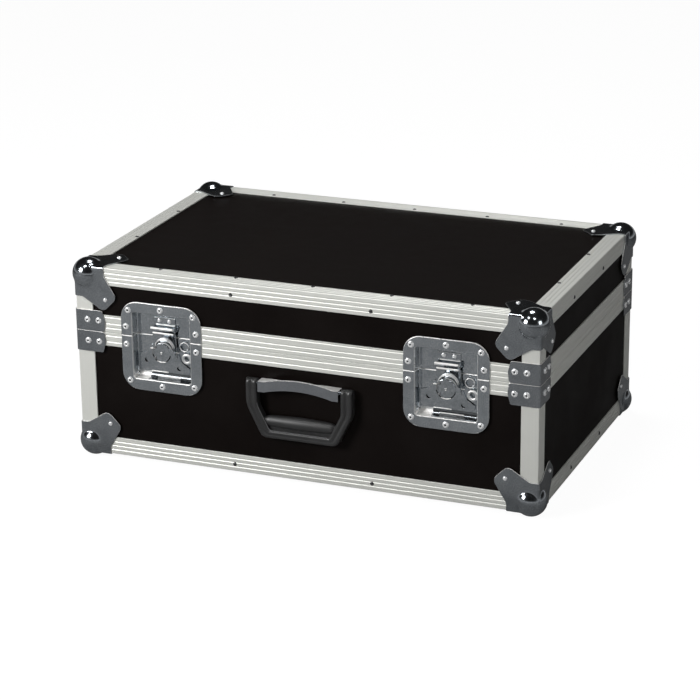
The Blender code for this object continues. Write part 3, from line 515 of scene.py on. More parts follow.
def patches_group():
    """Soft patches of dust and handling, as a mask."""
    tree, given, wanted = new_group("patches", {"Vector": None, "Scale": 10, "Low": 0.4, "High": 0.7},
                                    "Mask")
    cloud = cloudy(tree, given["Vector"], given["Scale"], 5, 0.6)
    mask = spread(tree, cloud, given["Low"], given["High"], interpolation_type="SMOOTHSTEP")
    tree.links.new(mask, wanted["Mask"])
    return tree


def drawn_group():
    """Fine drawn lines along an extrusion, as a value."""
    tree, given, wanted = new_group("drawn_lines", {"Vector": None, "Along": 6, "Across": 2500}, "Value")
    stretch = shade(tree, "CombineXYZ", {"X": given["Along"], "Y": given["Across"]})
    spot = shade(tree, "VectorMath", {0: given["Vector"], 1: stretch}, operation="MULTIPLY")
    tree.links.new(cloudy(tree, spot, 1, 3, 0.65), wanted["Value"])
    return tree


def edge_rub_and_highlight_group():
    """Rounded edges rubbed bright, most of all those that face up, as a mask. The part that follows facing
    up is a painted highlight from above, and marks beyond 1 are a painted highlight anywhere.
    """
    tree, given, wanted = new_group("worn_edges", {"Vector": None, "Normal": None, "Amount": 0.8}, "Mask")
    edge = attribute(tree, "edge")
    uneven = spread(tree, cloudy(tree, given["Vector"], 140, 3), 0.2, 0.55, 0.5)
    upper = spread(tree, share_of(tree, given["Normal"], "Z"), 0.05, 0.45, 0.12)
    # Rubbing brightened on faces that face up: a painted highlight from above.
    both = figure(tree, "MULTIPLY", edge, figure(tree, "MULTIPLY", uneven, upper))
    facing_up = figure(tree, "MULTIPLY", both, given["Amount"], clamp=True)
    # Marks beyond 1 paint a highlight anywhere.
    anywhere = figure(tree, "SUBTRACT", edge, 1, clamp=True)
    tree.links.new(figure(tree, "MAXIMUM", facing_up, anywhere), wanted["Mask"])
    return tree


PATCHES = patches_group()
DRAWN = drawn_group()
EDGE_RUB_AND_HIGHLIGHT = edge_rub_and_highlight_group()


def placed(tree, group, **values):
    """One use of a node group, with its own values."""
    return shade(tree, "Group", values, node_tree=group)


def patchy(tree, spot, scale, low, high):
    """A mask of soft patches."""
    return placed(tree, PATCHES, Vector=spot, Scale=scale, Low=low, High=high)


def new_finish(name, **constants):
    """A material, its shader's constants set, and the coordinates that its pattern reads."""
    made = bpy.data.materials.new(name)
    made.use_nodes = True
    tree = made.node_tree
    shader = tree.nodes["Principled BSDF"]
    for key, value in constants.items():
        shader.inputs[key.replace("_", " ")].default_value = value
    return made, tree, shader.inputs, add(tree, "ShaderNodeTexCoord").outputs["Object"]


def bumped(tree, inputs, height, strength, distance):
    bump = add(tree, "ShaderNodeBump", {"Height": height, "Strength": strength, "Distance": distance})
    tree.links.new(bump.outputs[0], inputs["Normal"])


def feed(tree, inputs, **values):
    for key, value in values.items():
        tree.links.new(value, inputs[key.replace("_", " ")])


def laminate_finish():
    """Black phenolic laminate: a faint fine texture, dull dust and a few pale specks."""
    made, tree, inputs, spot = new_finish("laminate_finish", Specular_IOR_Level=0.07)
    dull = patchy(tree, spot, 7, 0.35, 0.75)
    specks = patchy(tree, spot, 420, 0.735, 0.80)
    base = mix(tree, dull, (0.0042, 0.0027, 0.0023), (0.0065, 0.0046, 0.0040))
    feed(tree, inputs, Base_Color=mix(tree, specks, base, (0.04, 0.04, 0.04)),
         Roughness=level(tree, dull, 0.42, 0.56))
    bumped(tree, inputs, cloudy(tree, spot, 900, 2), 0.25, 0.00008)
    return made


def aluminium_finish():
    """Satin extruded aluminium with fine drawn lines that follow the piece's own map."""
    made, tree, inputs, spot = new_finish("extruded_finish", Metallic=0.6)
    run = shade(tree, "UVMap", uv_map="run")
    lines = placed(tree, DRAWN, Vector=run, Along=5, Across=2600)
    broad = placed(tree, DRAWN, Vector=run, Along=2, Across=420)
    grey = level(tree, patchy(tree, spot, 9, 0.45, 0.85), 0, 0.3)
    base = mix(tree, lines, (0.74, 0.75, 0.705), (0.86, 0.865, 0.815))
    base = mix(tree, level(tree, broad, 0, 0.35), base, (0.70, 0.70, 0.68))
    feed(tree, inputs, Base_Color=mix(tree, grey, base, (0.60, 0.61, 0.58)),
         Roughness=level(tree, lines, 0.46, 0.58))
    bumped(tree, inputs, lines, 0.15, 0.00006)
    return made


def steel_finish(name, dark, pale, rough, bright, up_facing_amount):
    """Plated steel sheet: a faint spangle, small specks, rubbed edges lightened with a painted highlight,
    and painted shade near black where faces are marked.
    """
    made, tree, inputs, spot = new_finish(name, Metallic=1.0)
    facing = tree.nodes["Texture Coordinate"].outputs["Normal"]
    tone = patchy(tree, spot, 800, 0.30, 0.70)
    haze = patchy(tree, spot, 60, 0.35, 0.75)
    specks = patchy(tree, spot, 700, 0.66, 0.78)
    # Rubbed edges and painted highlights, in the colour given as bright.
    edge = placed(tree, EDGE_RUB_AND_HIGHLIGHT, Vector=spot, Normal=facing, Amount=up_facing_amount)
    base = mix(tree, tone, dark, pale)
    base = mix(tree, level(tree, haze, 0, 0.5), base, [value * 0.86 for value in dark])
    base = mix(tree, level(tree, specks, 0, 0.6), base, [value * 1.5 for value in pale])
    base = mix(tree, edge, base, bright)
    even = level(tree, haze, rough, rough + 0.06)
    # Painted shade, near black, where faces are marked for it.
    feed(tree, inputs, Base_Color=mix(tree, attribute(tree, "grime"), base, (0.006, 0.006, 0.006)),
         Metallic=level(tree, edge, 1, 0.45), Roughness=figure(tree, "MULTIPLY_ADD", edge, 0.32, even))
    bumped(tree, inputs, tone, 0.06, 0.00001)
    return made


def rivet_finish(name, metal, hollow, rough):
    """A rivet's plated head, with painted shade near black inside its hollow."""
    made, tree, inputs, spot = new_finish(name, Metallic=0.5)
    haze = patchy(tree, spot, 260, 0.35, 0.75)
    base = mix(tree, level(tree, haze, 0, 0.4), metal, [value * 0.75 for value in metal])
    feed(tree, inputs, Base_Color=mix(tree, attribute(tree, "hollow"), base, hollow),
         Roughness=level(tree, haze, rough, rough + 0.1))
    return made


def plastic_finish():
    """Black moulded plastic with a fine spark texture, smoother where hands rub it, and a pale line painted
    as a highlight where faces are marked as edges.
    """
    made, tree, inputs, spot = new_finish("moulded_finish", Specular_IOR_Level=0.55)
    rubbed = patchy(tree, spot, 28, 0.4, 0.7)
    base = mix(tree, rubbed, (0.018, 0.018, 0.0185), (0.027, 0.027, 0.0275))
    feed(tree, inputs, Base_Color=mix(tree, attribute(tree, "edge"), base, (0.20, 0.20, 0.205)),
         Roughness=level(tree, rubbed, 0.42, 0.33))
    bumped(tree, inputs, cloudy(tree, spot, 1400, 2), 0.3, 0.00006)
    return made


def foam_finish():
    """Open-cell charcoal foam: pores at two scales over a soft sheen."""
    made, tree, inputs, spot = new_finish("foam_finish", Specular_IOR_Level=0.1, Roughness=0.95,
                                          Sheen_Weight=0.35, Sheen_Roughness=0.6)
    cells = [shade(tree, "TexVoronoi", {"Vector": spot, "Scale": scale}) for scale in (900, 380)]
    pores = spread(tree, figure(tree, "ADD", *cells), 0.2, 1.1)
    tone = level(tree, patchy(tree, spot, 14, 0.35, 0.75), 0, 0.35)
    base = mix(tree, pores, (0.016, 0.016, 0.018), (0.050, 0.051, 0.055))
    feed(tree, inputs, Base_Color=mix(tree, tone, base, (0.026, 0.026, 0.028)))
    bumped(tree, inputs, pores, 0.6, 0.0006)
    return made


LAMINATE = laminate_finish()
EXTRUDED = aluminium_finish()
# Colour of rubbed edges and painted highlights on the steels.
RUB_AND_HIGHLIGHT_COLOUR = (0.93, 0.915, 0.89)
ZINC = steel_finish("zinc_finish", (0.275, 0.30, 0.325), (0.53, 0.555, 0.58), 0.11, RUB_AND_HIGHLIGHT_COLOUR, 0.95)
# The latches' steel is the zinc finish painted lighter: a lit copy for the brighter reflections in the latch
# recesses.
LATCH_LIGHTER_ZINC = steel_finish("latch_finish", (0.375, 0.41, 0.44), (0.70, 0.735, 0.765), 0.11, RUB_AND_HIGHLIGHT_COLOUR, 0.95)
NICKEL = steel_finish("nickel_finish", (0.52, 0.52, 0.525), (0.62, 0.62, 0.625), 0.12, (0.95, 0.95, 0.94), 1)
CHROME = steel_finish("chrome_finish", (0.37, 0.39, 0.42), (0.44, 0.46, 0.49), 0.08, (0.92, 0.91, 0.90), 0.9)
# Each rivet finish's second colour is painted shade in the fasteners' hollows.
RIVET = rivet_finish("rivet_finish", (0.94, 0.95, 0.955), (0.012, 0.012, 0.012), 0.20)
DARK_RIVET = rivet_finish("dark_rivet_finish", (0.045, 0.045, 0.048), (0.01, 0.01, 0.01), 0.30)
MOULDED = plastic_finish()
FOAM = foam_finish()


# Boards

def make_boards():
    """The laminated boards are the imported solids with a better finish."""
    for name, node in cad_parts.items():
        if name.endswith("_panel"):
            node.data.materials.clear()
            node.data.materials.append(LAMINATE)


# Extruded aluminium

def stations(inset):
    """The case's outline from above as places for sections, each corner cut back by an inset."""
    made = []
    for index, name in enumerate(("front_left", "back_left", "back_right", "front_right")):
        cuts = [(inset, 0), (0, inset)] if inset else [(0, 0)]
        if index % 2:
            cuts.reverse()
        made += [(*CORNERS[name], *cut) for cut in cuts]
    return made


def at_station(station, section):
    """A section's points (inwards, height) at one place of the outline."""
    x, y, back_x, back_y = station
    return [Vector((x * (SIDE - u - back_x), y * (BACK - u - back_y), z)) for u, z in section]


def angle_section(grooves):
    """An angle's section: (inwards, away from the level), with grooves on both outer faces."""
    bend = [(EDGE_RADIUS * (1 - math.sin(turn)), EDGE_RADIUS * (1 - math.cos(turn))) for turn in quarter(4)]
    return [(LEG, WALL), (LEG, LIP_RADIUS), (LEG - LIP_RADIUS, 0),
            *grooved((0, 0), (LEG, 0), (0, 1), grooves)[::-1], *bend,
            *grooved((0, 0), (0, LEG), (1, 0), grooves),
            (0, LEG - LIP_RADIUS), (LIP_RADIUS, LEG), (WALL, LEG), (WALL, WALL)]


def extruded(name, bm, half, node):
    """A piece of extruded aluminium."""
    dress(name, bm, EXTRUDED, half, node, sharp=20, recalc=True)


def make_angles():
    """A ribbed angle round the bottom and round the top, cut back under the ball corners."""
    for half, (level_z, up) in LEVELS.items():
        section = [(u, level_z + up * v) for u, v in angle_section(ANGLE_GROOVES)]
        rings = [at_station(station, section) for station in stations(BALL_INSET)]
        extruded(half + "_edge_angles", loft(rings, True), half, half + "_edge_frame")


def make_posts():
    """A plain angle on each vertical edge."""
    section = angle_section(())
    for half in HALVES:
        for corner, (x, y) in CORNERS.items():
            node = f"{half}_post_{corner}"
            rings = [[Vector((x * (SIDE - u), y * (BACK - v), end.z)) for u, v in section]
                     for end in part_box(node)]
            extruded(f"{half}_corner_angle_{corner}", loft(rings, False, True), half, node)


def profile_section(half):
    """A closing profile's section as (inwards, height)."""
    if half == "lid":
        top = LID_RIM + LID_FLANGE
        web = LID_RIM + LID_WEB
        inner = LID_RIM + INNER_FLANGE
        tip = LID_RIM - TONGUE[2]
        return [(WALL, top), (LIP_RADIUS, top), (0, top - LIP_RADIUS),
                *grooved((0, top), (0, LID_RIM), (1, 0), LID_GROOVES),
                (0, LID_RIM + LIP_RADIUS), (LIP_RADIUS, LID_RIM), (TONGUE[0], LID_RIM), (TONGUE[0], tip),
                (TONGUE[1], tip), (TONGUE[1], LID_RIM), (PROFILE_IN, LID_RIM), (PROFILE_IN, inner),
                (PROFILE_OPEN, inner), (PROFILE_OPEN, web), (WALL, web)]
    low = BASE_RIM - BASE_FLANGE
    web = BASE_RIM - BASE_WEB
    inner = BASE_RIM - INNER_FLANGE
    deep = BASE_RIM - GROOVE[2]
    return [(LIP_RADIUS, BASE_RIM), (0, BASE_RIM - LIP_RADIUS),
            *grooved((0, BASE_RIM), (0, low), (1, 0), BASE_GROOVES),
            (0, low + 2 * LIP_RADIUS), (0.6 * LIP_RADIUS, low + 0.6 * LIP_RADIUS), (2 * LIP_RADIUS, low),
            (WALL, low), (WALL, web), (PROFILE_OPEN, web), (PROFILE_OPEN, inner), (PROFILE_IN, inner),
            (PROFILE_IN, BASE_RIM), (GROOVE[1], BASE_RIM), (GROOVE[1], deep), (GROOVE[0], deep),
            (GROOVE[0], BASE_RIM)]


def make_profiles():
    """The ribbed closing profiles: one run round the sides and back, and one between the latches."""
    outer = LATCH_X + NOTCH_HALF
    inner = LATCH_X - NOTCH_HALF
    for half in HALVES:
        section = profile_section(half)
        flat = {x: [Vector((x, u - BACK, z)) for u, z in section] for x in (-outer, -inner, inner, outer)}
        rings = [flat[-outer]] + [at_station(station, section) for station in stations(0)] + [flat[outer]]
        extruded(half + "_closing_profile", loft(rings, False, True), half, half + "_profile")
        front = loft([flat[-inner], flat[inner]], False, True)
        extruded(half + "_closing_profile_front", front, half, half + "_profile_front")


# Pressed steel

def ball_shape(standing):
    """A pressed corner for a case corner at the origin, inwards positive, from three flat fans of points."""
    outline = rounded(LEG_OUTLINE, 6)
    fan = []
    for start, end in zip(outline, outline[1:]):
        parts = max(1, round((end - start).length / FAN_STEP))
        fan += [start.lerp(end, part / parts) for part in range(parts)]
    fan.append(outline[-1])
    corner = Vector((-SHEET_OUT, -SHEET_OUT))
    bm = bmesh.new()
    for axis in range(3):
        rows = []
        for point in fan:
            row = []
            for step in range(BALL_STEPS + 1):
                spot = list(corner.lerp(point, step / BALL_STEPS))
                spot.insert(axis, -SHEET_OUT)
                row.append(bm.verts.new(pressed(Vector(spot), standing)))
            rows.append(row)
        for near, far in zip(rows, rows[1:]):
            for step in range(BALL_STEPS):
                corners = [near[step], near[step + 1], far[step + 1], far[step]]
                bm.faces.new(corners if step else corners[1:])
    bmesh.ops.remove_doubles(bm, verts=bm.verts, dist=2e-6)
    bmesh.ops.dissolve_degenerate(bm, edges=bm.edges, dist=1e-6)
    return bm


def pressed(spot, standing):
    """Where a point of the sharp flat corner lies on the bent and domed one."""
    inner = Vector([max(value, -SHEET_OUT + LEG_BEND) for value in spot])
    off = spot - inner
    if off.length > 0:
        spot = inner + off.normalized() * LEG_BEND
    centre = Vector((BALL_INSET,) * 3)
    away = spot - centre
    far = away.length
    beyond = max(spot) - BALL_INSET
    if beyond < 0:
        reach = BALL_RADIUS
    else:
        near = max(0, 1 - abs(far - BALL_RADIUS) / BALL_BLEND)
        reach = max(far, BALL_RADIUS) + near * near * BALL_BLEND / 6 * min(1, beyond / BALL_RUN_OUT)
    spot = centre + away.normalized() * reach
    if standing:
        spot.z = max(spot.z, FOOT_FLAT + BALL_INSET - BALL_RADIUS)
    return spot


def on_outside(point):
    """Whether a point lies on the outer side of the sheet that covers the case's faces."""
    proud = SHEET_OUT - SHEET / 2
    return (abs(point.x) > SIDE + proud or abs(point.y) > BACK + proud or point.z > TOP + proud
            or point.z < BOTTOM - proud)


def make_ball_corners():
    """Eight pressed corners, those of the base flattened where the case stands."""
    for half, (level_z, up) in LEVELS.items():
        for corner, (x, y) in CORNERS.items():
            name = f"{half}_ball_corner_{corner}"
            place = Vector((x * SIDE, y * BACK, level_z))
            shape = joined(name, moved(flipped(ball_shape(half == "base"), -x, -y, up), place))
            first = shape.data.polygons[0]
            if first.normal.dot(first.center - place - Vector((-x, -y, up)) * BALL_INSET) < 0:
                shape.data.flip_normals()
            sheet = bevel_edges(thickened(shape), SHEET_BEVEL, 3, 50, on_outside)
            # The rims above the case's top get a weaker mark, so less rubbing and less painted highlight
            # there.
            edge = sheet.faces.layers.float["edge"]
            marked(sheet, 0.3, lambda face, middle: face[edge] > 0 and middle.z > TOP)
            dress(name, sheet, ZINC, half, f"ball_corner_{half}_{corner}")


def make_braces():
    for half in HALVES:
        for corner in CORNERS:
            node = f"brace_{half}_{corner}"
            brace = bevel_edges(solid_copy(node), SHEET_BEVEL, 3, where=on_outside)
            # Faces that face up are painted as highlights.
            marked(brace, 1.6, lambda face, middle: face.normal.z > 0.3)
            dress(f"{half}_corner_brace_{corner}", brace, ZINC, half, node)


def make_hinges():
    for side in LATCHES:
        for half, kind in (("base", "fixed"), ("lid", "swing")):
            node = f"{side}_hinge_{half}_leaf"
            leaf = bevel_edges(solid_copy(node), 0.00025)
            dress(f"{side}_hinge_{kind}_leaf", leaf, ZINC, half, node)


# Latches

def dish_ring(sizes, grow, depth, lift=0):
    """A rounded rectangle about the seam, grown all round, at a depth behind the front face."""
    half, down, up, radius = (size + grow for size in sizes)
    low = lift - down
    corners = [(-half, low, radius), (half, low, radius), (half, up, radius), (-half, up, radius)]
    return [Vector((point.x, depth, point.y)) for point in rounded(corners, 7)]


def dish_shape():
    """The whole pressed dish as an open skin: rim, flange, bend, wall, bend and floor."""
    rings = []
    for turn in quarter(4):
        rings.append(dish_ring(FLANGE, RIM_RADIUS * (math.cos(turn) - 1),
                               RIM_RADIUS * (1 - math.sin(turn)) - SHEET_OUT))
    for turn in quarter(5):
        rings.append(dish_ring(RECESS, RECESS_BEND * (1 - math.sin(turn)),
                               RECESS_BEND * (1 - math.cos(turn)) - SHEET_OUT))
    for turn in quarter(9):
        short = BOTTOM_RUN * (1 - math.sin(turn))
        shrink = FLOOR_BEND - math.sqrt(FLOOR_BEND ** 2 - max(0, FLOOR_BEND - short) ** 2)
        lift = BOTTOM_RISE * (1 - math.cos(turn)) - shrink
        rings.append(dish_ring(RECESS, -shrink, RECESS_FLOOR - short, lift))
    bm = loft(rings, False, rub_and_highlight=(*range(4), *range(5, 10)))
    bmesh.ops.contextual_create(bm, geom=[edge for edge in open_edges(bm)
                                          if abs(edge.verts[0].co.y - RECESS_FLOOR) < 1e-6])
    # The bend's rub mark is lowered, then it is painted as a highlight left of the first cut and with
    # painted shade right of it; the side walls and the side edges at the flange get painted highlights.
    for x in BRIGHT_BOTTOM:
        cut(bm, (x, 0, 0), (1, 0, 0))
    marked(bm, 0.1, in_bottom_bend)
    marked(bm, 1.5, lambda face, middle: in_bottom_bend(face, middle) and middle.x < BRIGHT_BOTTOM[0])
    marked(bm, 0.62, lambda face, middle: in_bottom_bend(face, middle) and middle.x > BRIGHT_BOTTOM[0],
           "grime")
    marked(bm, 1.12, lambda face, middle: abs(middle.x) > RECESS_HALF - 0.0015
           and 0.001 < middle.y < RECESS_FLOOR - 0.001)
    marked(bm, 1.5, lambda face, middle: abs(abs(middle.x) - RECESS_HALF - 0.0004) < 0.0004
           and middle.y < 0.0005)
    return bm


def in_bottom_bend(face, middle):
    """Whether a face of the recess lies in the large bend below the mechanism."""
    return (middle.y > 0.001 and middle.z < BOTTOM_RISE - RECESS_DOWN
            and abs(middle.x) < RECESS_HALF - FLOOR_BEND)


def dish_half(half):
    """One half of the dish as a solid sheet, cut at the seam. The base's half is turned in along the cut."""
    bm = dish_shape()
    keep = 1 if half == "lid" else -1
    cut(bm, (0, 0, keep * SEAM_GAP), (0, 0, -keep), True)
    if half == "base":
        cut(bm, (0, 0, -SEAM_STRIP), (0, 0, 1))
        bmesh.ops.recalc_face_normals(bm, faces=bm.faces)
        # The strip along the seam is marked as a rubbed edge; it faces up, so it shows a painted highlight.
        marked(bm, 1, lambda face, middle: middle.z > -SEAM_STRIP)
        flange = min(bm.faces, key=lambda face: face.calc_center_median().y)
        inward = SEAM_BACK * (1 if flange.normal.y > 0 else -1)
        for vert in bm.verts:
            if vert.co.z > -1.5 * SEAM_GAP:
                vert.co += Vector((*vert.normal.xy, 0)).normalized() * inward
    skin = joined("dish", bm)
    flange = min(skin.data.polygons, key=lambda face: face.center.y)
    if flange.normal.y > 0:
        skin.data.flip_normals()
    return thickened(skin)


def merged(*shapes):
    """Several bmeshes as one."""
    whole = bmesh.new()
    for shape in shapes:
        mesh = bpy.data.meshes.new("part")
        shape.to_mesh(mesh)
        shape.free()
        whole.from_mesh(mesh)
        bpy.data.meshes.remove(mesh)
    return whole


def drilled(shape, cutters):
    """A shape less its cutters."""
    body = joined("drilled", shape)
    tools = [joined("drill", cutter) for cutter in cutters]
    for tool in tools:
        changed(body, "BOOLEAN", operation="DIFFERENCE", object=tool, solver="EXACT")
    made = taken(settled(body))
    for tool in tools:
        bpy.data.objects.remove(tool)
    bmesh.ops.remove_doubles(made, verts=made.verts, dist=1e-6)
    return made


def rod(radius, x, z, front, back):
    """A round bar along the depth."""
    return prism([(x + u, z + v) for u, v in circle(24, radius, radius)], front, back)


def ring_shape(inner, outer, thickness, x, z, front):
    """A rounded ring lying across the depth."""
    middle, half = (inner + outer) / 2, (outer - inner) / 2
    profile = [(middle + u, v) for u, v in circle(12, half, thickness / 2)]
    return moved(laid(turned(profile, 36, True)), (x, front + thickness / 2, z))


def bar(radius, left, right, depth, z, bright):
    """A round bar across the case with rounded ends, painted as a highlight by the mark given as bright."""
    profile = [(0, left), (0.7 * radius, left + 0.1 * radius), (radius, left + 0.7 * radius),
               (radius, right - 0.7 * radius), (0.7 * radius, right - 0.1 * radius), (0, right)]
    return marked(moved(laid(turned(profile, 12), "Y"), (0, depth, z)), bright)


def mechanism_plate():
    """The raised plate on the dish's floor, its two holes, the folds below it, a spring loop and the eye;
    the plate's rims, the folds, the loop and the eye are painted as highlights, and the holes' walls with
    painted shade.
    """
    outline = rounded(PLATE_OUTLINE[::-1], 3)
    plate = drilled(prism(outline, PLATE_FRONT, RECESS_FLOOR + 0.0004),
                    [rod(PIT_RADIUS, x, z, PLATE_FRONT - 0.001, RECESS_FLOOR + 0.001) for x, z in PITS])
    bevel_edges(plate, 0.0008, 2, 40)
    edge = plate.faces.layers.float["edge"]
    marked(plate, 1.2, lambda face, middle: face[edge] > 0)
    # Painted shade on the walls of the holes.
    marked(plate, 1, lambda face, middle: abs(face.normal.y) < 0.2 and middle.z < -0.025
           and min(math.hypot(middle.x - x, middle.z - z) for x, z in PITS) < PIT_RADIUS + 0.0003, "grime")
    loop = marked(ring_shape(0.0049, 0.0063, 0.0014, *LOOP, 0.0079), 1.4)
    eye = marked(ring_shape(0.0034, 0.0068, 0.0028, *EYE, 0.0054), 1.5)
    stem = prism([(EYE[0] + x, EYE[1] + z) for x, z in STEM], 0.0060, RECESS_FLOOR)
    return merged(plate, bar(*FOLD, 1.7), bar(*LOW_BEAD, 1.85), loop, eye, bevel_edges(stem, 0.0003))


def hood():
    """The pressed hood on the hook's plate that bows over the knob, with a groove round it, painted as a
    highlight all over.
    """
    rings = []
    for step in range(25):
        turn = math.radians(10 + 160 * step / 24)
        rings.append([Vector((radius * math.cos(turn), depth, radius * math.sin(turn) + 0.0025 - KNOB_DROP))
                      for radius, depth in HOOD_SECTION])
    return marked(loft(rings, False, True), 1.25)


def claw_shape(side, place):
    """The hook with two pressed ridges on its slant, the hood on its plate and a toe at each leg. Faces that
    face up get no rub mark, and the right-facing side below the seam, the ridges and the toes are painted as
    highlights.
    """
    plate = bevel_edges(solid_copy(side + "_latch_hook"), 0.0003)
    marked(plate, 0, lambda face, middle: face.normal.z > 0.8)
    marked(plate, 1.8, lambda face, middle: face.normal.x > 0.7 and -0.0185 < middle.z - SEAM < 0)
    forms = [*(bar(*ridge, 1.95) for ridge in RIDGES), hood(), *(bar(*toe, 1.9) for toe in TOES)]
    return merged(plate, *(moved(form, place) for form in forms))


def drum():
    """The rotor's drum behind the disc, open at the left where the wing folds in, painted as a highlight."""
    bm = laid(turned(DRUM_SECTION, 40, True))
    cut(bm, (-0.0050, 0, 0), (-1, 0, 0), True, True)
    bmesh.ops.recalc_face_normals(bm, faces=bm.faces)
    return marked(moved(bm, (0, 0, -KNOB_DROP)), 1.5)


def disc_rim(front, keep, x):
    """The rolled rim of the disc, on one side of where it folds, with painted shade on its lower half and a
    painted highlight along its bottom.
    """
    rim = ring_shape(0.0112, 0.0124, 0.0012, 0, -KNOB_DROP, front - 0.0001)
    cut(rim, (x, 0, 0), (-keep, 0, 0), True, True)
    for value, layer, drop in ((1, "grime", 0.0015), (1.9, "edge", 0.0105), (0, "grime", 0.0105)):
        marked(rim, value, lambda face, middle: middle.z < -KNOB_DROP - drop, layer)
    return rim


def wing_shape(side, place):
    """The butterfly with a rolled rim round its disc, and a small rivet at its centre painted as a
    highlight.
    """
    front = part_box(side + "_latch_wing")[0].y - FRONT
    rivet = laid(turned(KNOB_RIVET, 16))
    marked(moved(rivet, (0, front + 0.0003, -KNOB_DROP)), 1.2)
    return merged(bevel_edges(solid_copy(side + "_latch_wing"), 0.0003),
                  moved(disc_rim(front, 1, WING_FOLD[0]), place), moved(rivet, place))


def make_latches():
    """Two latches: dish halves, mechanism plate, strike, hook, cam and wing."""
    for side, x in LATCHES.items():
        place = (x, FRONT, SEAM)
        latch = side + "_latch_"
        lower = moved(merged(dish_half("base"), mechanism_plate()), place)
        dress(latch + "lower_dish", lower, LATCH_LIGHTER_ZINC, "base", latch + "base_dish")
        upper = moved(dish_half("lid"), place)
        dress(latch + "upper_dish", upper, LATCH_LIGHTER_ZINC, "lid", latch + "lid_dish")
        dress(latch + "claw", claw_shape(side, place), LATCH_LIGHTER_ZINC, side + "_hook", latch + "hook")
        dress(latch + "butterfly", wing_shape(side, place), LATCH_LIGHTER_ZINC, side + "_wing", latch + "wing")
        catch = merged(bevel_edges(solid_copy(latch + "strike"), 0.0004),
                       moved(bar(*CATCH_BEAD, 1.8), place))
        dress(latch + "catch", catch, LATCH_LIGHTER_ZINC, "lid", latch + "strike")
        rotor = bevel_edges(solid_copy(latch + "cam"), 0.0002)
        # The rotor's left part is painted as a highlight.
        marked(rotor, 1.5, lambda face, middle: middle.x < x - 0.0095)
        rim = disc_rim(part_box(latch + "wing")[0].y - FRONT, -1, WING_FOLD[1])
        rotor = merged(rotor, moved(drum(), place), moved(rim, place))
        dress(latch + "rotor", rotor, NICKEL, side + "_cam", latch + "cam")


# Handle

def grip_rings(half, drop, thick):
    """Rings of the grip's U-shaped frame about the handle's axis, two ridges and a groove on its front."""
    sides = []
    ends = ((half, half - GRIP_LEAN, -drop), (half - GRIP_ARM, GRIP_INSIDE, GRIP_BAND - drop))
    for (edge, end, low), (shoulder, wide, tight) in zip(ends, GRIP_BENDS):
        line = [(-edge, 0, 0), (-edge, shoulder, wide), (-end, low, tight)]
        sides.append(rounded(line + [(-x, z, radius) for x, z, radius in line[::-1]], 7))
    stops = [(near, far, 1) for near, far in zip(*sides)]
    for turn in END_TURNS:
        rise = Vector((0, thick * math.sin(math.radians(turn))))
        flat = math.cos(math.radians(turn))
        stops.insert(0, (sides[0][0] + rise, sides[1][0] + rise, flat))
        stops.append((sides[0][-1] + rise, sides[1][-1] + rise, flat))
    rings = []
    for near, far, flat in stops:
        deep = min(1, 0.2 + max(0, far.y + drop - GRIP_BAND) / 0.02)
        ring = []
        for across, depth in GRIP_SECTION:
            if 0.3 < across < 0.7:
                depth = -1 + (depth + 1) * deep
            point = near.lerp(far, across)
            ring.append(Vector((point.x, depth * thick * flat, point.y)))
        rings.append(ring)
    return rings


def make_grip():
    """The moulded grip: a ribbed frame, a crowned roll in it and the web that joins them."""
    low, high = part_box("handle_grip")
    thick = (high.y - low.y) / 2
    drop = high.z - thick - low.z
    rings = grip_rings(high.x, drop, thick)
    band = loft(rings, False, True)
    edge = band.faces.layers.float["edge"]
    size = len(GRIP_SECTION)
    # A line of faces along the frame's inner edge is painted as a highlight.
    for number, face in enumerate(list(band.faces)[:size * (len(rings) - 1)]):
        middle = face.calc_center_median()
        if number % size == GRIP_HIGHLIGHT_LINE and middle.z < -0.022 and middle.x < 0.036:
            face[edge] = 1
    swell = [(radius, -place) for radius, place in ROLL_SWELL[-2::-1]]
    roll = turned([(0, ROLL_SWELL[0][1]), *ROLL_SWELL, *swell, (0, -ROLL_SWELL[0][1])], 28)
    bmesh.ops.transform(roll, matrix=Matrix.Rotation(ROLL_LEAN, 4, "X")
                        @ Matrix.Diagonal((1, 0.70, 1, 1)) @ Matrix.Rotation(math.pi / 2, 4, "Y"),
                        verts=roll.verts)
    moved(roll, (0, 0.0007, GRIP_BAND + 0.0110 - drop))
    web = prism([(x, z - drop) for x, z in WEB], -0.0005, 0.0040)
    whole = moved(merged(band, roll, web), (0, (low.y + high.y) / 2, high.z - thick))
    dress("grip_moulded", whole, MOULDED, "handle", "handle_grip", sharp=50, recalc=True)


def make_handle():
    """The chromed bracket, its top painted as a highlight and a bead along its lower edge painted as a
    highlight line, and the grip.
    """
    low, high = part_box("handle_bracket")
    shape = bevel_edges(solid_copy("handle_bracket"), 0.0005, 3)
    marked(shape, 1.9, lambda face, middle: face.normal.z > 0.6)
    bead = bar(0.0006, -0.014, 0.023, low.y + 0.0006, low.z + BEAD_UP, 1.9)
    dress("bracket_chromed", merged(shape, bead), CHROME, "base", "handle_bracket")
    make_grip()


# Foam

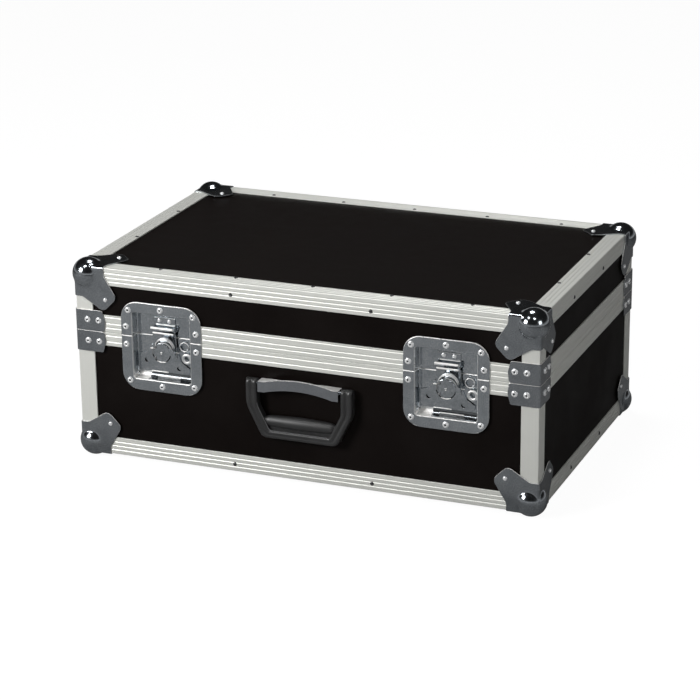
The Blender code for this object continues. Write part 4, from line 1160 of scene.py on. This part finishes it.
def pad(low, high, face, root, step, fall):
    """A pad with a shaped face. fall says how far the face lies back from its level at a place."""
    counts = [round((high[axis] - low[axis]) / step) for axis in range(2)]
    bm = bmesh.new()
    rows = []
    for across in range(counts[0] + 1):
        x = low.x + (high.x - low.x) * across / counts[0]
        row = []
        for along in range(counts[1] + 1):
            y = low.y + (high.y - low.y) * along / counts[1]
            edge = min(x - low.x, high.x - x, y - low.y, high.y - y)
            back = fall(across, along, edge) + PAD_SWELL * (1 + noise.noise(Vector((x, y, face)) * 18))
            row.append(bm.verts.new((x, y, face + math.copysign(back, root - face))))
        rows.append(row)
    for near, far in zip(rows, rows[1:]):
        for place in range(counts[1]):
            bm.faces.new((near[place], near[place + 1], far[place + 1], far[place]))
    made = bmesh.ops.extrude_edge_only(bm, edges=open_edges(bm))
    for item in made["geom"]:
        if isinstance(item, bmesh.types.BMVert):
            item.co.z = root
    bmesh.ops.contextual_create(bm, geom=open_edges(bm))
    bmesh.ops.recalc_face_normals(bm, faces=bm.faces)
    return bm


def crate_fall(across, along, edge):
    """Rounded peaks and hollows, whole waves across and along."""
    wave = math.cos(math.tau * across / CRATE_STEPS) + math.cos(math.tau * along / CRATE_STEPS)
    return CRATE_CUT * (0.5 - 0.25 * wave)


def cushion_fall(across, along, edge):
    """A face that rounds away at its edges."""
    near = max(0, PAD_EDGE - edge)
    return PAD_EDGE - math.sqrt(PAD_EDGE ** 2 - near ** 2)


def make_foam():
    """Each half's wall sheets with soft edges, a smooth pad on the floor and a waved one under the top."""
    for half, step, fall in (("base", PAD_STEP, cushion_fall), ("lid", CRATE_STEP, crate_fall)):
        thick, keep = PAD_DEPTHS[half]
        low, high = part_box(half + "_foam")
        near, way = (low.z, 1) if half == "base" else (high.z, -1)
        walls = solid_copy(half + "_foam")
        for vert in walls.verts:
            if abs(vert.co.z - near - way * thick) < 1e-4:
                vert.co.z = near + way * keep
        bevel_edges(walls, FOAM_BEVEL, 3)
        inset = Vector((FOAM_WALL + PAD_GAP, FOAM_WALL + PAD_GAP, 0))
        layer = pad(low + inset, high - inset, near + way * thick, near + way * (keep - 0.001), step, fall)
        lining = dress(half + "_foam_lining", merged(walls, layer), FOAM, half, half + "_foam",
                       sharp=60)


# Rivets and screws

def fastener_form(name, profile, hollow):
    """A fastener's turned form standing on z = 0. Faces inside the hollow radius are marked for painted
    shade.
    """
    bm = turned(profile, 20)
    mark = bm.faces.layers.float.new("hollow")
    for face in bm.faces:
        if face.calc_center_median().xy.length < hollow:
            face[mark] = 1
    form = joined(name, bm)
    form.data.shade_smooth()
    form.hide_render = True
    form.hide_viewport = True
    return form


def fastener_tree():
    """Stands a form on every point, turned to the point's own direction."""
    tree = bpy.data.node_groups.new("fasteners", "GeometryNodeTree")
    for name, kind in (("Points", "Geometry"), ("Form", "Object"), ("Finish", "Material")):
        tree.interface.new_socket(name, in_out="INPUT", socket_type="NodeSocket" + kind)
    tree.interface.new_socket("Fasteners", in_out="OUTPUT", socket_type="NodeSocketGeometry")
    given = add(tree, "NodeGroupInput").outputs
    form = add(tree, "GeometryNodeObjectInfo", {"Object": given["Form"]}).outputs["Geometry"]
    facing = add(tree, "GeometryNodeInputNamedAttribute", {"Name": "facing"}, data_type="FLOAT_VECTOR")
    turn = add(tree, "FunctionNodeAlignRotationToVector", {"Vector": facing.outputs[0]}, axis="Z").outputs[0]
    stand = add(tree, "GeometryNodeInstanceOnPoints", {"Points": given["Points"], "Instance": form,
                                                       "Rotation": turn})
    real = add(tree, "GeometryNodeRealizeInstances", {"Geometry": stand.outputs[0]})
    finish = add(tree, "GeometryNodeSetMaterial", {"Geometry": real.outputs[0], "Material": given["Finish"]})
    tree.links.new(finish.outputs[0], add(tree, "NodeGroupOutput").inputs["Fasteners"])
    return tree


def scatter(name, spots, form, finish, body):
    """One object with a fastener at each (place, direction)."""
    mesh = bpy.data.meshes.new(name)
    mesh.from_pydata([place for place, facing in spots], [], [])
    facings = mesh.attributes.new("facing", "FLOAT_VECTOR", "POINT")
    for index, (place, facing) in enumerate(spots):
        facings.data[index].vector = facing
    points = linked(name, mesh)
    modifier = changed(points, "NODES", node_group=FASTENERS)
    values = {"Form": form, "Finish": finish}
    for item in FASTENERS.interface.items_tree:
        if item.name in values:
            modifier[item.identifier] = values[item.name]
    made = settled(points)
    made.data.shade_smooth()
    made.data.set_sharp_from_angle(angle=math.radians(40))
    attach(made, body)


def beside_corner(x, y, inset, z):
    """Two places beside a corner, one on each wall."""
    return [((x * (SIDE - inset), y * (BACK + SHEET_OUT), z), (0, y, 0)),
            ((x * (SIDE + SHEET_OUT), y * (BACK - inset), z), (x, 0, 0))]


def rivet_spots(half):
    """Where the bright rivets of the dishes and the braces stand."""
    spots = [((x + across, FRONT - SHEET_OUT, SEAM + up), (0, -1, 0))
             for x in LATCHES.values() for across, up in DISH_RIVETS[half]]
    z = SEAM + BRACE_RIVET_UP[half]
    for x, y in CORNERS.values():
        for inset in BRACE_RIVET_INSETS:
            spots += beside_corner(x, y, inset, z)
    return spots


def leg_rivet_spots(half):
    """Where the ball corners' small rivets stand."""
    level_z, up = LEVELS[half]
    spots = []
    for x, y in CORNERS.values():
        spots += beside_corner(x, y, LEG_RIVET, level_z + up * LEG_RIVET)
        flat = (x * (SIDE - LEG_RIVET), y * (BACK - LEG_RIVET), level_z - up * SHEET_OUT)
        spots.append((flat, (0, 0, -up)))
    return spots


def catch_rivet_spots(half):
    """Where the strikes' two small rivets stand, in the lid alone."""
    if half == "base":
        return []
    return [((x + across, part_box(side + "_latch_strike")[1].y - SHEET, SEAM + 0.0198), (0, -1, 0))
            for side, x in LATCHES.items() for across in (-0.0066, 0.0066)]


def screw_spots(half):
    """Where the small dark screws of the angles stand."""
    level_z, up = LEVELS[half]
    z = level_z + up * SCREW_IN[half]
    spots = []
    for y in (-1, 1):
        spots += [((x, y * BACK, z), (0, y, 0)) for x in (-0.089, 0.089)]
        spots += [((x, y * (BACK - SCREW_INSET), level_z), (0, 0, -up)) for x in LONG_SCREWS]
    for x in (-1, 1):
        for y in (-0.060, 0.060):
            spots += [((x * SIDE, y, z), (x, 0, 0)),
                      ((x * (SIDE - SCREW_INSET), y, level_z), (0, 0, -up))]
    return spots


def make_fasteners():
    """Rivets and screws, one object for each kind on each half."""
    head = fastener_form("rivet_form", HEAD_PROFILE, 0.00125)
    small = fastener_form("leg_rivet_form", SMALL_PROFILE, 0)
    screw = fastener_form("screw_form", SCREW_PROFILE, 0.0008)
    for name, places, form, finish, slot in (
            ("rivets", rivet_spots, head, RIVET, "bright_steel"),
            ("leg_rivets", leg_rivet_spots, small, RIVET, "bright_steel"),
            ("catch_rivets", catch_rivet_spots, small, RIVET, "bright_steel"),
            ("screws", screw_spots, screw, DARK_RIVET, "steel")):
        for half in HALVES:
            if places(half):
                scatter(f"{half}_{name}", places(half), form, finish, half)
    for form in (head, small, screw):
        bpy.data.objects.remove(form)


# Camera, floor, world and lamps

def make_camera():
    """The photo's view of the case."""
    camera = linked("camera", bpy.data.cameras.new("camera"))
    camera.data.lens = LENS
    camera.data.sensor_width = SENSOR
    camera.location = CAMERA_PLACE
    turn = Vector(CAMERA_BACK).to_track_quat("Z", "Y").to_matrix() @ Matrix.Rotation(CAMERA_ROLL, 3, "Z")
    camera.rotation_euler = turn.to_euler()
    bpy.context.scene.camera = camera


def emptied(owner):
    """The empty node tree of a material or a world."""
    owner.use_nodes = True
    owner.node_tree.nodes.clear()
    return owner.node_tree


def make_floor():
    """A pale floor that shows white and keeps a faint shadow."""
    bpy.ops.mesh.primitive_grid_add(x_subdivisions=2, y_subdivisions=2, size=24)
    floor = bpy.context.object
    floor.name = "floor"
    paint = bpy.data.materials.new("floor_paint")
    tree = emptied(paint)
    rays = add(tree, "ShaderNodeLightPath").outputs
    seen = figure(tree, "MAXIMUM", rays["Is Glossy Ray"], rays["Is Transmission Ray"])
    seen = figure(tree, "MULTIPLY", seen, 0.03)
    camera = figure(tree, "MULTIPLY", rays["Is Camera Ray"], 0.85)
    share = figure(tree, "MAXIMUM", seen, camera)
    place = add(tree, "ShaderNodeTexCoord").outputs["Object"]
    # Metal sees the floor darker than the camera does, and darker towards the back: painted shade for a dim
    # studio behind the case.
    dull = spread(tree, share_of(tree, place, "Y"), -0.3, 0.5, 0.25, 0.13)
    dark = shade(tree, "CombineColor", {0: dull, 1: dull, 2: dull})
    matt = shade(tree, "BsdfDiffuse", {"Color": mix(tree, rays["Is Glossy Ray"], (0.55, 0.55, 0.55), dark)})
    glow = shade(tree, "Emission", {"Color": (1, 1, 1, 1), "Strength": 1.13})
    both = shade(tree, "MixShader", {0: share, 1: matt, 2: glow})
    add(tree, "ShaderNodeOutputMaterial", {"Surface": both})
    floor.data.materials.append(paint)


def make_world():
    """White where the camera looks, and a dim studio above the horizon for what the metal reflects."""
    world = bpy.data.worlds.new("studio")
    bpy.context.scene.world = world
    tree = emptied(world)
    rays = add(tree, "ShaderNodeLightPath").outputs
    height = share_of(tree, add(tree, "ShaderNodeTexCoord").outputs["Generated"], "Z")
    dim = spread(tree, height, 0.0, 0.04, 1.0, 0.03)
    wall = spread(tree, height, 0.0, 0.24, 0.55, 0.02)
    dim = shade(tree, "Mix", {0: rays["Is Glossy Ray"], 2: dim, 3: wall})
    white = figure(tree, "MAXIMUM", dim, rays["Is Camera Ray"])
    glow = shade(tree, "Background", {"Color": (1, 1, 1, 1), "Strength": white})
    add(tree, "ShaderNodeOutputWorld", {"Surface": glow})


def make_lamps():
    """Two soft boxes from the front, two small ones above them, and a broad one overhead."""
    aim = Vector((0, 0, (BOTTOM + TOP) / 2))
    for name, azimuth, elevation, size, distance, light in (
            ("key", -39, 24, 0.90, 3.0, 0.70), ("fill", 64, 21, 0.75, 2.4, 0.115),
            ("upper_left", -26, 53, 0.30, 2.2, 0.10), ("upper_right", 32, 50, 0.30, 2.2, 0.07),
            ("overhead", -150, 78, 0.60, 2.2, 0.45)):
        lamp = bpy.data.lights.new(name, "AREA")
        lamp.shape = "SQUARE"
        lamp.size = size
        lamp.energy = math.pi ** 2 * distance ** 2 * light
        holder = linked(name, lamp)
        turn, rise = math.radians(azimuth), math.radians(elevation)
        away = Vector((math.sin(turn) * math.cos(rise), -math.cos(turn) * math.cos(rise), math.sin(rise)))
        holder.location = aim + away * distance
        holder.rotation_euler = away.to_track_quat("Z", "Y").to_euler()


FASTENERS = fastener_tree()
bpy.context.scene.view_settings.view_transform = "Standard"
make_camera()
make_floor()
make_world()
make_lamps()
make_boards()
make_angles()
make_posts()
make_profiles()
make_ball_corners()
make_braces()
make_hinges()
make_latches()
make_handle()
make_foam()
make_fasteners()
